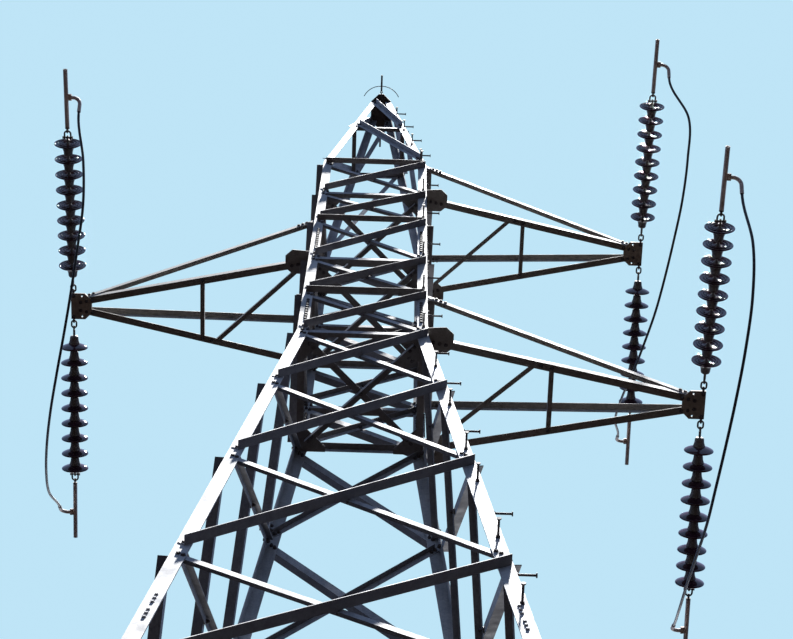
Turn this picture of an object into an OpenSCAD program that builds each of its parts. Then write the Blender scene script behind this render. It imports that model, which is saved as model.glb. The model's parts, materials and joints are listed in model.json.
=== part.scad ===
// Lattice transmission pylon: a square strain tower for one circuit, made of bolted steel angles,
// with three staggered cross-arms, strings of disc insulators, jumper loops and an earth-wire peak.
// Millimetres, +Z up. The origin is on the ground at the centre of the four feet, and the line
// runs along Y, so that the front face looks to -Y and the single arm is on the left, at -X.

/* [Tower] */
// Height of the waist, where the straight cage starts, above the ground
waist_h = 18000; // [17600:50:18600]
// Width of the tower at the ground, heel to heel of its legs
base_w = 4220; // [3800:20:4600]
// Width at the waist, heel to heel
waist_w = 1100; // [1040:5:1160]
// Width at the top of the cage, heel to heel
cage_top_w = 1120; // [1040:2:1160]
// Height of the earth-wire peak above the cage
peak_h = 4820; // [4000:20:5000]
// Width of the peak at its head, heel to heel
peak_head_w = 256; // [220:2:320]

/* [Panels] */
// Height of the first braced panel below the waist
panel_1 = 1550; // [1450:10:1650]
// Height of the second panel
panel_2 = 1820; // [1700:10:1900]
// Height of the third panel
panel_3 = 1880; // [1800:10:1980]
// Height of the fourth panel
panel_4 = 1800; // [1750:10:1900]
// Height of the fifth panel
panel_5 = 2400; // [2300:10:2500]
// Height of the sixth panel
panel_6 = 2650; // [2550:10:2750]
// Height of the seventh panel
panel_7 = 2900; // [2800:10:3000]
// Height of the cage panel at the lower right arm
arm_depth_low = 1035; // [950:5:1150]
// Height of the cage panel between the lower right arm and the left arm
gap_low = 1020; // [950:5:1150]
// Height of the cage panel at the left arm
arm_depth_left = 1235; // [1100:5:1300]
// Height of the cage panel between the left arm and the upper right arm
gap_high = 1010; // [950:5:1150]
// Height of the cage panel at the upper right arm
arm_depth_top = 1190; // [1050:5:1300]
// Height of the lower panel of the peak
peak_panel = 2640; // [2400:10:2900]
// Height of the low end of a peak diagonal above the foot of the peak
peak_foot_gap = 380; // [300:10:500]
// Height of the other ends of the peak diagonals from the peak's strut and from its head
peak_end_gap = 145; // [120:5:200]
// Distance of a brace's bolt from the level of its joint
brace_setback = 92; // [90:1:100]

/* [Steel angles] */
// Flange width of the body legs
leg_w = 100; // [96:1:120]
// Flange thickness of the legs
leg_t = 10; // [8:1:12]
// Flange width of the cage legs
cage_leg_w = 90; // [86:1:100]
// Flange width of the peak legs
peak_leg_w = 80; // [76:1:84]
// Flange thickness of the peak legs
peak_leg_t = 8; // [6:1:10]
// Distance of the bolt line from a leg's heel
gauge = 56; // [55:1:60]
// Flange width of the braces outside the legs
outer_w = 70; // [60:1:75]
// Thickness of the braces outside the legs
outer_t = 6; // [5:0.5:8]
// Flange width of the braces inside the legs
inner_w = 50; // [45:1:55]
// Thickness of the braces inside the legs
inner_t = 5; // [4:0.5:6]
// Flange width of the level struts
strut_w = 60; // [50:1:65]
// Thickness of the level struts
strut_t = 5; // [4:0.5:6]
// Flange width of the base struts and the base braces
base_brace_w = 80; // [70:1:90]
// Thickness of the base struts and the base braces
base_brace_t = 7; // [6:0.5:8]
// Length of a brace beyond its end bolt
edge_distance = 30; // [25:1:32]
// Thickness of the gusset plates
gusset_t = 8; // [6:1:10]

/* [Cross-arms] */
// Distance from the tower's axis to the strings of the left arm
reach_left = 2755; // [2500:10:3000]
// Distance from the tower's axis to the strings of the upper right arm
reach_top = 2805; // [2500:10:3000]
// Distance from the tower's axis to the strings of the lower right arm
reach_low = 2895; // [2500:10:3000]
// Flange width of the bottom chords
chord_w = 65; // [60:1:70]
// Thickness of the bottom chords
chord_t = 6; // [5:0.5:8]
// Flange width of the upper ties
tie_w = 60; // [50:1:62]
// Thickness of the upper ties
tie_t = 5; // [4:0.5:6]
// Flange width of the arm's own strut and diagonal
arm_brace_w = 40; // [35:1:45]
// Thickness of the arm's own strut and diagonal
arm_brace_t = 4; // [3:0.5:5]
// Place of the arm's strut along the arm, as a share of its length
arm_strut_share = 0.45; // [0.4:0.01:0.5]
// How far the chords' heels stand inside the faces of the cage at their roots
chord_inset = 25; // [0:1:35]
// Width of the tip plate along the line
tip_w = 256; // [240:2:280]
// Length of the tip plate along the arm
tip_len = 196; // [180:2:240]
// Thickness of the tip plate
tip_t = 14; // [12:1:18]
// Distance between the heels of the two chords at the tip
tip_chord_gap = 142; // [138:1:160]
// Diameter of the shackle holes
shackle_hole = 22; // [20:0.5:26]

/* [Insulators] */
// Diameter of a disc
disc_d = 255; // [240:1:280]
// Distance from one disc to the next
disc_pitch = 150; // [140:1:160]
// Number of discs in a string
disc_count = 9; // [5:1:10]
// Fall of the strings from level, in degrees
droop = 5; // [2:0.5:8]
// Distance from the centre of the arm to the first disc, along the string
first_disc = 386; // [375:1:420]
// Diameter of the steel rod in the links and shackles
link_rod = 16; // [14:0.5:17]
// Length of the chain link at the arm
link_len = 84; // [78:1:90]
// Width of the chain link
link_w = 62; // [60:1:70]
// Play of a steel piece on what carries it
seat = 0.3; // [0.2:0.05:0.5]
// Diameter of the dead-end clamp's barrel
clamp_d = 40; // [38:1:46]
// Length of the dead-end clamp's barrel
clamp_len = 560; // [480:10:640]
// Diameter of the conductor's bore in the clamp
conductor_bore = 27; // [24:0.5:29]
// Depth of the conductor's bore
bore_depth = 150; // [120:5:180]
// Place of the jumper's flag along the barrel
flag_at = 300; // [280:5:380]

/* [Feet and steps] */
// Side of the square foot plates
foot_w = 380; // [340:10:460]
// Thickness of the foot plates
foot_t = 22; // [18:1:30]
// Distance between anchor holes, centre to centre
anchor_pitch = 290; // [260:5:340]
// Diameter of the anchor holes
anchor_hole = 28; // [22:1:34]
// Height between two steps of the climbing leg
step_pitch = 530; // [480:5:560]
// Free length of a step bolt
step_len = 130; // [110:5:160]
// Diameter of a step bolt
step_d = 16; // [14:1:20]
// Height of the first step above the ground
first_step = 2510; // [2000:10:3000]
// Height of the first step on the upper piece of the leg
upper_step = 14850; // [14700:10:15200]
// Height of the first step on the peak's leg
peak_step = 23790; // [23700:10:23900]

/* [Jumpers] */
// Diameter of the jumper cable
jumper_d = 24; // [20:1:28]
// Diameter of the tube on the jumper's end
jumper_tube_d = 34; // [30:1:40]
// Radius of the bend in that tube
jumper_bend = 70; // [60:5:90]
// Length of that tube beyond its bend
jumper_leg = 80; // [60:5:120]
// Fall of the jumper's ends below the level, in degrees
jumper_fall = 46; // [40:1:60]

/* [Peak fittings] */
// Diameter of the rod in the earth-wire shackles
peak_rod = 12; // [10:0.5:14]
// Diameter of the earth-wire clamp's barrel
peak_clamp_d = 24; // [22:1:30]
// Length of the earth-wire clamp's barrel
peak_clamp_len = 210; // [180:5:260]
// Diameter of the earth wire's bore in its clamp
earth_bore = 12; // [9:0.5:14]
// Diameter of the bonding wire
bond_d = 10; // [8:0.5:12]

/* [Hidden] */
STEEL = [0.72, 0.74, 0.76];
DARK_STEEL = [0.48, 0.5, 0.53];
PORCELAIN = [0.3, 0.13, 0.09];
CABLE = [0.12, 0.12, 0.13];
UP = [0, 0, 1];

cage_levels = [
    waist_h,
    waist_h + arm_depth_low,
    waist_h + arm_depth_low + gap_low,
    waist_h + arm_depth_low + gap_low + arm_depth_left,
    waist_h + arm_depth_low + gap_low + arm_depth_left + gap_high,
    waist_h + arm_depth_low + gap_low + arm_depth_left + gap_high + arm_depth_top
];
cage_top = cage_levels[5];
peak_mid = cage_top + peak_panel;
peak_top = cage_top + peak_h;
body_panels = [panel_1, panel_2, panel_3, panel_4, panel_5, panel_6, panel_7];
body_levels = [for (i = [0:len(body_panels)]) waist_h - sum_to(body_panels, i)];
base_level = body_levels[len(body_panels)];

// A brace's packing washer, how far fused pieces reach into each other, and the step where rods meet
packing_r = 22;
bite = 1;
step = 0.4;
// Depth of the horizontal gussets' upper side below a joint's level
plate_drop = strut_w / 2;
// Height around a joint that the steps keep clear of
joint_zone = 170;
step_free_levels = concat(body_levels, [for (i = [1:5]) cage_levels[i]], [peak_mid + peak_end_gap / 2]);

// Holes and shackles at the tips
hole_y = tip_w / 2 - 26;
spare_hole = 16;
tip_half_gap = tip_t / 2 + link_rod / 2 + 6;
tip_straight = 36;
tip_pull = (shackle_hole - link_rod) / 2 - seat;
link_y = hole_y + tip_pull + tip_straight + tip_half_gap - link_rod - seat;
pin_r = 11;
eye_t = 14;
pin_to_disc = first_disc - link_y;
string_end = pin_to_disc + (disc_count - 1) * disc_pitch;
tongue_len = 42;
shackle_at = string_end + 82;
end_half_gap = 28;
end_straight = 34;
barrel_at = shackle_at + end_straight + end_half_gap + 22;
flag_out = 50;
pad_t = 10;
tube_start = flag_out + 10;
// Direction of the jumper's end tubes below the string's line, and the middle of their open ends
jumper_dive = jumper_fall + droop;
tube_end = [
    -pad_t - sin(jumper_dive) * (jumper_bend + jumper_leg),
    tube_start + jumper_bend,
    barrel_at + flag_at - cos(jumper_dive) * (jumper_bend + jumper_leg)
];

// Plate and eyes of the peak
head_side = peak_head_w / 2 + 4;
head_point = head_side + 100;
head_eye = head_point - 28;
peak_hole = peak_rod + 2;

function sum_to(list, n) = n == 0 ? 0 : list[n - 1] + sum_to(list, n - 1);
function mix(a, b, s) = a + (b - a) * s;
function unit(a) = a / norm(a);
function across(a, d) = unit(a - (a * d) * d);
function half_w(z) =
    z < waist_h ? mix(base_w, waist_w, z / waist_h) / 2
    : z < cage_top ? mix(waist_w, cage_top_w, (z - waist_h) / (cage_top - waist_h)) / 2
    : mix(cage_top_w, peak_head_w, (z - cage_top) / peak_h) / 2;
function corner(cx, cy, z) = [cx * half_w(z), cy * half_w(z), z];
// How much the front face leans back for each millimetre of height between two levels
function lean(z0, z1) = (half_w(z0) - half_w(z1)) / (z1 - z0);

// Outline of an angle whose first flange runs along +X and the other along e, both from the heel
function angle_outline(w, t, e, inset = 0) =
    let(side = e.y < 0 ? -1 : 1, n2 = [side * e.y, -side * e.x], in = [1 + e.x, e.y] / abs(e.y))
    [for (p = [[0, 0], [w, 0], [w, side * t], t * in, w * e + t * n2, w * e]) p + inset * in];

// Moves a shape so that its X, Y and Z run along u, v and d from p
module placed(p, u, v, d) {
    multmatrix([
        [u.x, v.x, d.x, p.x],
        [u.y, v.y, d.y, p.y],
        [u.z, v.z, d.z, p.z],
        [0, 0, 0, 1]
    ]) children();
}

// Angle with its heel from p to q: one flange lies towards flat, the other stands out towards out
module angle_bar(p, q, flat, out, w, t) {
    d = unit(q - p);
    u = across(flat, d);
    v = cross(d, u);
    side = v * out < 0 ? -1 : 1;
    placed(p, u, v, d) linear_extrude(norm(q - p)) polygon(angle_outline(w, t, [0, side]));
}

// Length of a tower leg from z0 to z1, its flanges flush with both faces, cut off level
module leg_run(cx, cy, z0, z1, w, t, inset = 0, over = 15) {
    d = unit(corner(cx, cy, z1) - corner(cx, cy, z0));
    p = corner(cx, cy, z0) - over * d;
    u = across([-cx, 0, 0], d);
    v = cross(d, u);
    e = across([0, -cy, 0], d);
    wide = base_w;
    intersection() {
        placed(p, u, v, d) linear_extrude(norm(corner(cx, cy, z1) - p) + over)
            polygon(angle_outline(w, t, [e * u, e * v], inset));
        translate([-wide / 2 - w, -wide / 2 - w, z0]) cube([wide + 2 * w, wide + 2 * w, z1 - z0]);
    }
}

// Angle in the front face from a to b, both on the face's outer side. It lies outside the legs,
// or behind flanges as thick as behind says. Its heel is its lower edge when heel_low is true.
module face_bar(a, b, slope, w, t, behind, heel_low) {
    normal = unit([0, -1, slope]);
    rise = unit([0, slope, 1]);
    d = unit(b - a);
    to_flat = heel_low ? rise : -rise;
    start = a - edge_distance * d - across(to_flat, d) * w / 2 - behind * normal;
    out = behind > 0 ? -normal : normal;
    angle_bar(start, start + (norm(b - a) + 2 * edge_distance) * d, to_flat, out, w, t);
}

// Round packing between a brace outside the legs and one inside them
module packing(c, slope) {
    normal = unit([0, -1, slope]);
    placed(c - (leg_t + bite) * normal, [1, 0, 0], cross(normal, [1, 0, 0]), normal)
        cylinder(h = leg_t + 2 * bite, r = packing_r, $fn = 12);
}

function bolt_point(cx, z) = corner(cx, -1, z) - [cx * gauge, 0, 0];

// Crossed braces of one panel of the front face
module cross_panel(z0, z1) {
    slope = lean(z0, z1);
    low = z0 + brace_setback;
    high = z1 - brace_setback;
    a = bolt_point(-1, low);
    b = bolt_point(1, high);
    face_bar(a, b, slope, outer_w, outer_t, 0, true);
    face_bar(bolt_point(-1, high), bolt_point(1, low), slope, inner_w, inner_t, leg_t, false);
    packing(mix(a, b, a.x / (a.x - b.x)), slope);
}

// Level strut of the front face
module level_strut(z, slope, w, t, behind, heel_low) {
    face_bar(bolt_point(-1, z), bolt_point(1, z), slope, w, t, behind, heel_low);
}

module turned(face) {
    rotate([0, 0, 90 * face]) children();
}

module leg(cx, cy) {
    splice_w = leg_w - leg_t - 14;
    splice_len = 400;
    foot = corner(cx, cy, foot_t) - [cx, cy, 0] * leg_w / 2;
    color(STEEL) union() {
        leg_run(cx, cy, foot_t - bite, waist_h, leg_w, leg_t);
        for (z = [(body_levels[3] + body_levels[4]) / 2, (body_levels[5] + body_levels[6]) / 2])
            leg_run(cx, cy, z - splice_len / 2, z + splice_len / 2, splice_w, leg_t, leg_t + seat);
        difference() {
            translate([foot.x - foot_w / 2, foot.y - foot_w / 2, 0]) cube([foot_w, foot_w, foot_t]);
            for (x = [-1, 1], y = [-1, 1])
                translate([foot.x + x * anchor_pitch / 2, foot.y + y * anchor_pitch / 2, -1])
                    cylinder(h = foot_t + 2, d = anchor_hole, $fn = 32);
        }
        foot_ribs(cx, cy);
    }
}

// Two upright ribs between a leg's flanges and its foot plate
module foot_ribs(cx, cy) {
    rib_h = 150;
    rib_w = (foot_w - leg_w) / 2 - 20;
    c = corner(cx, cy, foot_t);
    outline = [[0, -bite], [rib_w, -bite], [rib_w, 25], [20, rib_h], [0, rib_h]];
    translate([c.x - cx * (leg_w - 12), c.y - cy * gusset_t, foot_t]) rotate([90, 0, cx > 0 ? 180 : 0])
        linear_extrude(gusset_t, center = true) polygon(outline);
    translate([c.x - cx * gusset_t, c.y - cy * (leg_w - 12), foot_t]) rotate([90, 0, cy > 0 ? -90 : 90])
        linear_extrude(gusset_t, center = true) polygon(outline);
}

module cage_leg(cx, cy) {
    color(STEEL) leg_run(cx, cy, waist_h, cage_top, cage_leg_w, leg_t);
}

module body_bracing(face) {
    color(STEEL) turned(face)
        for (i = [0:len(body_panels) - 1]) cross_panel(body_levels[i + 1], body_levels[i]);
}

// Strut and upright V of the lowest panel, with a short level brace to each leg
module base_bracing(face) {
    slope = lean(0, base_level);
    normal = unit([0, -1, slope]);
    rise = unit([0, slope, 1]);
    foot_bolt = 360;
    head_gap = 60;
    head = [0, -half_w(base_level), base_level];
    brace_level = base_level * 0.52;
    color(STEEL) turned(face) union() {
        level_strut(base_level, slope, base_brace_w, base_brace_t, leg_t, face % 2 == 1);
        for (cx = [-1, 1]) {
            low = bolt_point(cx, foot_bolt);
            high = head + [cx * head_gap, 0, 0] - 120 * rise;
            face_bar(low, high, slope, base_brace_w, base_brace_t, 0, true);
            mid = mix(low, high, (brace_level - foot_bolt) / (high.z - foot_bolt));
            face_bar(bolt_point(cx, mid.z), mid, slope, inner_w, inner_t, leg_t, false);
            packing(mid, slope);
        }
        placed(head - (leg_t + bite) * normal, [1, 0, 0], cross(normal, [1, 0, 0]), normal)
            linear_extrude(leg_t + 2 * bite)
                polygon([[-150, -40], [150, -40], [150, 60], [90, 190], [-90, 190], [-150, 60]]);
    }
}

module cage_bracing(face) {
    color(STEEL) turned(face) {
        for (i = [0:4]) cross_panel(cage_levels[i], cage_levels[i + 1]);
        for (i = [0:5])
            level_strut(cage_levels[i], lean(waist_h, cage_top), strut_w, strut_t,
                i % 2 == 0 ? leg_t : 0, i % 2 == 1 || face % 2 == 1);
    }
}

// Level plate in the angle of a leg, with its upper side at z
module corner_plate(cx, cy, z, size) {
    h = half_w(z) - leg_t - 2 * seat;
    cut_off = size / 5;
    outline = [[0, 0], [size, 0], [size, cut_off], [cut_off, size], [0, size]];
    translate([0, 0, z - gusset_t]) linear_extrude(gusset_t)
        polygon([for (p = outline) [cx * (h - p.x), cy * (h - p.y)]]);
}

// Two crossed level angles between the corners, one on the corner plates and one under them. The
// plates lie under struts whose inward flange falls by slope for each millimetre of its width.
module plan_bracing(z, size, w, t, slope = 0) {
    top = z - w / 2 - slope * w;
    start = half_w(z) - leg_t - w * 1.4 - 5;
    color(STEEL) union() {
        for (cx = [-1, 1], cy = [-1, 1]) corner_plate(cx, cy, top, size);
        for (side = [-1, 1]) {
            across_bar = unit([1, side, 0]);
            bar_z = side < 0 ? top - bite / 4 : top - gusset_t + bite / 4;
            end = [start, -side * start, 0];
            angle_bar([0, 0, bar_z] - end - across_bar * w / 2, [0, 0, bar_z] + end - across_bar * w / 2,
                across_bar, -side * UP, w, t);
        }
        translate([0, 0, top - gusset_t - bite]) cylinder(h = gusset_t + 2 * bite, r = packing_r, $fn = 12);
    }
}

module peak_frame() {
    slope = lean(cage_top, peak_top);
    color(STEEL) union() {
        for (cx = [-1, 1], cy = [-1, 1]) leg_run(cx, cy, cage_top, peak_top, peak_leg_w, peak_leg_t);
        for (face = [0:3]) turned(face) {
            for (ends = [
                [cage_top + peak_foot_gap, peak_mid + peak_end_gap],
                [peak_mid + peak_end_gap, peak_top - peak_end_gap]
            ])
                face_bar(bolt_point(-1, ends[1]), bolt_point(1, ends[0]), slope, strut_w, strut_t, 0, false);
            level_strut(peak_mid, slope, inner_w, inner_t, peak_leg_t, face % 2 == 1);
        }
    }
}

// Level plate on the peak, pointed to both line sides, with an eye at each point
module peak_head() {
    color(DARK_STEEL) difference() {
        translate([0, 0, peak_top]) linear_extrude(tip_t) polygon([
            [-30, -head_point], [30, -head_point], [head_side, -head_side], [head_side, head_side],
            [30, head_point], [-30, head_point], [-head_side, head_side], [-head_side, -head_side]
        ]);
        for (cy = [-1, 1]) translate([0, cy * head_eye, peak_top - 1])
            cylinder(h = tip_t + 2, d = peak_hole, $fn = 32);
    }
}

// Shackle, clamp and two bonding wires at each end of the peak's plate
module peak_fittings() {
    half_gap = tip_t / 2 + peak_rod / 2 + 3;
    straight = 34;
    pull = (peak_hole - peak_rod) / 2 - seat;
    eye_r = peak_rod / 2 + 3;
    apex = straight + half_gap;
    eye_at = apex - peak_rod / 2 - eye_slack(half_gap, peak_rod) + eye_r;
    barrel_at = eye_at + eye_r + 8;
    bond_z = tip_t / 2 + bond_d / 2 + seat;
    for (cy = [-1, 1]) color(DARK_STEEL) {
        translate([0, cy * (head_eye + pull), peak_top + tip_t / 2]) multmatrix([
            [0, -cy, 0, 0],
            [0, 0, cy, 0],
            [1, 0, 0, 0],
            [0, 0, 0, 1]
        ]) {
            rotate([0, 0, 90]) shackle(peak_rod, half_gap, straight);
            difference() {
                union() {
                    translate([0, 0, eye_at]) rotate([0, 90, 0])
                        cylinder(h = peak_rod, r = eye_r + 9, $fn = 32, center = true);
                    translate([0, 0, barrel_at]) cylinder(h = peak_clamp_len, d = peak_clamp_d, $fn = 24);
                }
                translate([0, 0, eye_at]) rotate([0, 90, 0])
                    cylinder(h = peak_rod + 2, r = eye_r, $fn = 32, center = true);
                translate([0, 0, barrel_at + peak_clamp_len - 90])
                    cylinder(h = 100, d = earth_bore, $fn = 24);
            }
        }
        start_y = head_eye + pull + barrel_at + 60;
        bend = start_y - head_side + 40;
        for (cx = [-1, 1]) translate([cx * 8, cy * (start_y - bend), peak_top + tip_t / 2 + bond_z])
            mirror([cx < 0 ? 1 : 0, 0, 0]) mirror([0, cy > 0 ? 1 : 0, 0]) rotate([0, 0, -90])
                rotate_extrude(angle = 65, $fn = 48) translate([bend, 0]) circle(d = bond_d, $fn = 16);
    }
}

// Steps on the front right leg, in turn to the front and to the right, moved up clear of the joints
module step_bolts() {
    step_run(first_step, upper_step - step_pitch / 2);
    step_run(upper_step, peak_step - step_pitch / 2);
    step_run(peak_step, peak_top - 700);
}

// Steps of one piece of the leg, from the height z0 up to z1
module step_run(z0, z1) {
    head_d = 2 * step_d;
    from_heel = 35;
    color(STEEL) for (i = [0:floor((z1 - z0) / step_pitch)]) {
        wanted = z0 + i * step_pitch;
        near = [for (z = step_free_levels) if (abs(wanted - z) < joint_zone) z];
        z = len(near) > 0 ? near[0] + joint_zone : wanted;
        c = corner(1, -1, z);
        p = i % 2 == 0 ? c - [from_heel, 0, 0] : c + [0, from_heel, 0];
        translate(p) rotate(i % 2 == 0 ? [90, 0, 0] : [0, 90, 0]) {
            cylinder(h = step_len, d = step_d, $fn = 12);
            translate([0, 0, step_len - 8]) cylinder(h = 8, d = head_d, $fn = 12);
        }
    }
}

// Places an arm's pieces: the left arm is the right one turned half round
module arm_side(left) {
    rotate([0, 0, left ? 180 : 0]) children();
}

function turned_round(p) = [-p.x, -p.y, p.z];

function chord_root(z) = [half_w(z) + 14, half_w(z) - chord_inset];
function chord_tip(reach) = [reach - 60, tip_chord_gap / 2];
// Point on the outer side of a bottom chord's heel, a share of the way out
function chord_at(z, reach, cy, s) =
    let(r = chord_root(z), e = chord_tip(reach)) [mix(r.x, e.x, s), cy * mix(r.y, e.y, s), z - plate_drop];

module arm_frame(z, reach) {
    foot = half_w(z - plate_drop - gusset_t) + seat;
    on_flange = chord_t - bite / 4;
    side_outline = [[0, -60], [150, -70], [215, -10], [215, 110], [150, 165], [0, 165]];
    color(STEEL) union() {
        for (cy = [-1, 1]) {
            angle_bar(chord_at(z, reach, cy, 0), chord_at(z, reach, cy, 1),
                [0, -cy, 0], UP, chord_w, chord_t);
            translate([0, 0, z - plate_drop - gusset_t]) linear_extrude(gusset_t)
                polygon([for (p = side_outline) [foot + p.x, cy * (foot - p.y)]]);
        }
        angle_bar(chord_at(z, reach, -1, arm_strut_share) + [0, 15, on_flange],
            chord_at(z, reach, 1, arm_strut_share) + [0, -15, on_flange],
            [1, 0, 0], UP, arm_brace_w, arm_brace_t);
        angle_bar(chord_at(z, reach, 1, 0.02) + [0, -30, on_flange],
            chord_at(z, reach, -1, arm_strut_share - 0.04) + [0, 25, on_flange],
            [-1, 0, 0], UP, arm_brace_w, arm_brace_t);
    }
}

// Upper ties from the next level down to the tip, outside the chords, each on a plate at the leg
module arm_ties(z, z_tie, reach) {
    plate_len = 190;
    color(STEEL) for (cy = [-1, 1]) union() {
        r = chord_at(z, reach, cy, 0);
        e = chord_at(z, reach, cy, 0.975);
        plan = unit([e.x - r.x, e.y - r.y, 0]);
        outward = across([0, cy, 0], plan);
        root = [r.x, r.y, z_tie + tie_w / 2];
        tip = [e.x, e.y, z - plate_drop + chord_w + 4];
        angle_bar(root + tie_t * outward, tip + tie_t * outward, -UP, -outward, tie_w, tie_t);
        fall = (root.z - tip.z) / norm([tip.x - root.x, tip.y - root.y]);
        face = half_w(z_tie - tie_w) + seat + gusset_t * abs(plan.y) - root.x;
        under = -2 * tie_t;
        plate = root - (cy < 0 ? gusset_t * outward : [0, 0, 0]) + bite / 4 * outward;
        placed(plate, plan, UP, cross(plan, UP)) linear_extrude(gusset_t) polygon([
            [face / plan.x, under - fall * face], [face / plan.x, -tie_w - 40], [50, -tie_w - 40],
            [plate_len, under - fall * plate_len - tie_w * 0.7], [plate_len, under - fall * plate_len]
        ]);
    }
}

module tip_plate(z, reach) {
    x1 = reach + 24;
    x0 = x1 - tip_len;
    shoulder = tip_len / 3;
    color(DARK_STEEL) difference() {
        translate([0, 0, z - plate_drop - tip_t]) linear_extrude(tip_t) polygon([
            [x1, -tip_w / 2], [x1, tip_w / 2], [x0 + shoulder, tip_w / 2], [x0, tip_w / 4],
            [x0, -tip_w / 4], [x0 + shoulder, -tip_w / 2]
        ]);
        for (cy = [-1, 1]) {
            translate([reach, cy * hole_y, z - plate_drop - tip_t - 1])
                cylinder(h = tip_t + 2, d = shackle_hole, $fn = 32);
            translate([reach - 80, cy * (tip_w / 2 - 28), z - plate_drop - tip_t - 1])
                cylinder(h = tip_t + 2, d = spare_hole, $fn = 32);
        }
    }
}

// Places a string's pieces: +Z runs from the link's inner end along the string, +X points up
module string_line(z, reach, cy) {
    translate([reach, cy * link_y, z - plate_drop - tip_t / 2]) multmatrix([
        [0, -cy, 0, 0],
        [sin(droop) * cy, 0, cos(droop) * cy, 0],
        [cos(droop), 0, -sin(droop), 0],
        [0, 0, 0, 1]
    ]) children();
}

// The same placing, as a point
function string_point(z, reach, cy, p) = [
    reach - cy * p.y,
    cy * (link_y + sin(droop) * p.x + cos(droop) * p.z),
    z - plate_drop - tip_t / 2 + cos(droop) * p.x - sin(droop) * p.z
];

// Outline of one disc from its cap's top to its pin, with radius first and distance second
function disc_outline(r) = [
    [20, -94], [34, -90], [40, -78], [42, -50], [47, -34], [50, -22], [52, -12],
    [62, -11], [r * 0.72, 0], [r - 6, 15], [r, 23], [r - 3, 30], [r - 13, 32],
    [r - 19, 20], [r - 33, 19], [r - 37, 34], [r - 43, 34], [r - 47, 18], [r - 60, 17],
    [r - 63, 32], [r - 69, 32], [r - 73, 13], [32, 10], [20, 24], [pin_r, 34]
];

// Ball eye, discs and socket tongue of one string
module insulator_string(z, reach, cy) {
    eye_r = link_rod / 2 + 5;
    eye_at = link_len - 3 * link_rod / 2 - eye_slack(link_w / 2 - link_rod / 2, eye_t) + eye_r;
    string_line(z, reach, cy) {
        color(DARK_STEEL) difference() {
            union() {
                translate([0, 0, eye_at]) rotate([90, 0, 0])
                    cylinder(h = eye_t, r = eye_r + 11, $fn = 32, center = true);
                translate([0, 0, eye_at + eye_r + 4])
                    cylinder(h = pin_to_disc - 90 - eye_at - eye_r, r = pin_r, $fn = 24);
            }
            translate([0, 0, eye_at]) rotate([90, 0, 0])
                cylinder(h = eye_t + 2, r = eye_r, $fn = 32, center = true);
        }
        color(PORCELAIN) rotate_extrude($fn = 48) polygon(concat(
            [[0, pin_to_disc - 94]],
            [for (i = [0:disc_count - 1], p = disc_outline(disc_d / 2))
                [p.x, p.y + pin_to_disc + i * disc_pitch]],
            [[pin_r, string_end + 42], [17, string_end + 46], [17, string_end + 60], [0, string_end + 60]]
        ));
        color(DARK_STEEL) difference() {
            translate([-20, -eye_t / 2, string_end + 59]) cube([40, eye_t, tongue_len]);
            translate([0, 0, shackle_at]) rotate([90, 0, 0])
                cylinder(h = eye_t + 2, d = link_rod + 2 * seat, $fn = 32, center = true);
        }
    }
}

// How far an eye of thickness t stays back from the middle of a bend with the given radius
function eye_slack(radius, t) = radius - sqrt(radius * radius - t * t / 4) + seat;

// Shackle with its pin along Y and its bow towards +Z
module shackle(rod, half_gap, straight) {
    rotate([90, 0, 0]) cylinder(h = 2 * half_gap + rod + 12, d = rod, $fn = 24, center = true);
    for (side = [-1, 1]) {
        translate([0, side * half_gap, 0]) rotate([90, 0, 0])
            cylinder(h = rod - 3, d = 2.3 * rod, $fn = 32, center = true);
        translate([0, side * half_gap, 0]) cylinder(h = straight, d = rod, $fn = 24);
        translate([0, side * (half_gap + rod / 2 + 7), 0]) rotate([90, 0, 0])
            cylinder(h = 7, d = 1.7 * rod, $fn = 6, center = true);
    }
    translate([0, 0, straight]) rotate([90, 0, 90])
        rotate_extrude(angle = 180, $fn = 32) translate([half_gap, 0]) circle(d = rod - step, $fn = 24);
}

// Closed oval ring of round rod, wide along Y, from the middle of its inner end along +Z
module oval_ring(length, width, rod) {
    r = width / 2 - rod / 2;
    straight = length - width;
    for (end = [0, 1]) translate([0, 0, r + end * straight]) rotate([90, 0, 90])
        rotate([0, 0, 180 - 180 * end])
        rotate_extrude(angle = 180, $fn = 32) translate([r, 0]) circle(d = rod - step, $fn = 24);
    for (side = [-1, 1]) translate([0, side * r, r]) cylinder(h = straight, d = rod, $fn = 24);
}

// Shackle on the tip plate, its link, and the dead-end clamp beyond the discs
module string_fittings(z, reach, cy) {
    color(DARK_STEEL) {
        translate([reach, cy * (hole_y + tip_pull), z - plate_drop - tip_t / 2]) multmatrix([
            [1, 0, 0, 0],
            [0, 0, cy, 0],
            [0, 1, 0, 0],
            [0, 0, 0, 1]
        ]) shackle(link_rod, tip_half_gap, tip_straight);
        string_line(z, reach, cy) {
            oval_ring(link_len, link_w, link_rod);
            translate([0, 0, shackle_at]) shackle(link_rod, end_half_gap, end_straight);
            dead_end();
        }
    }
}

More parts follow.
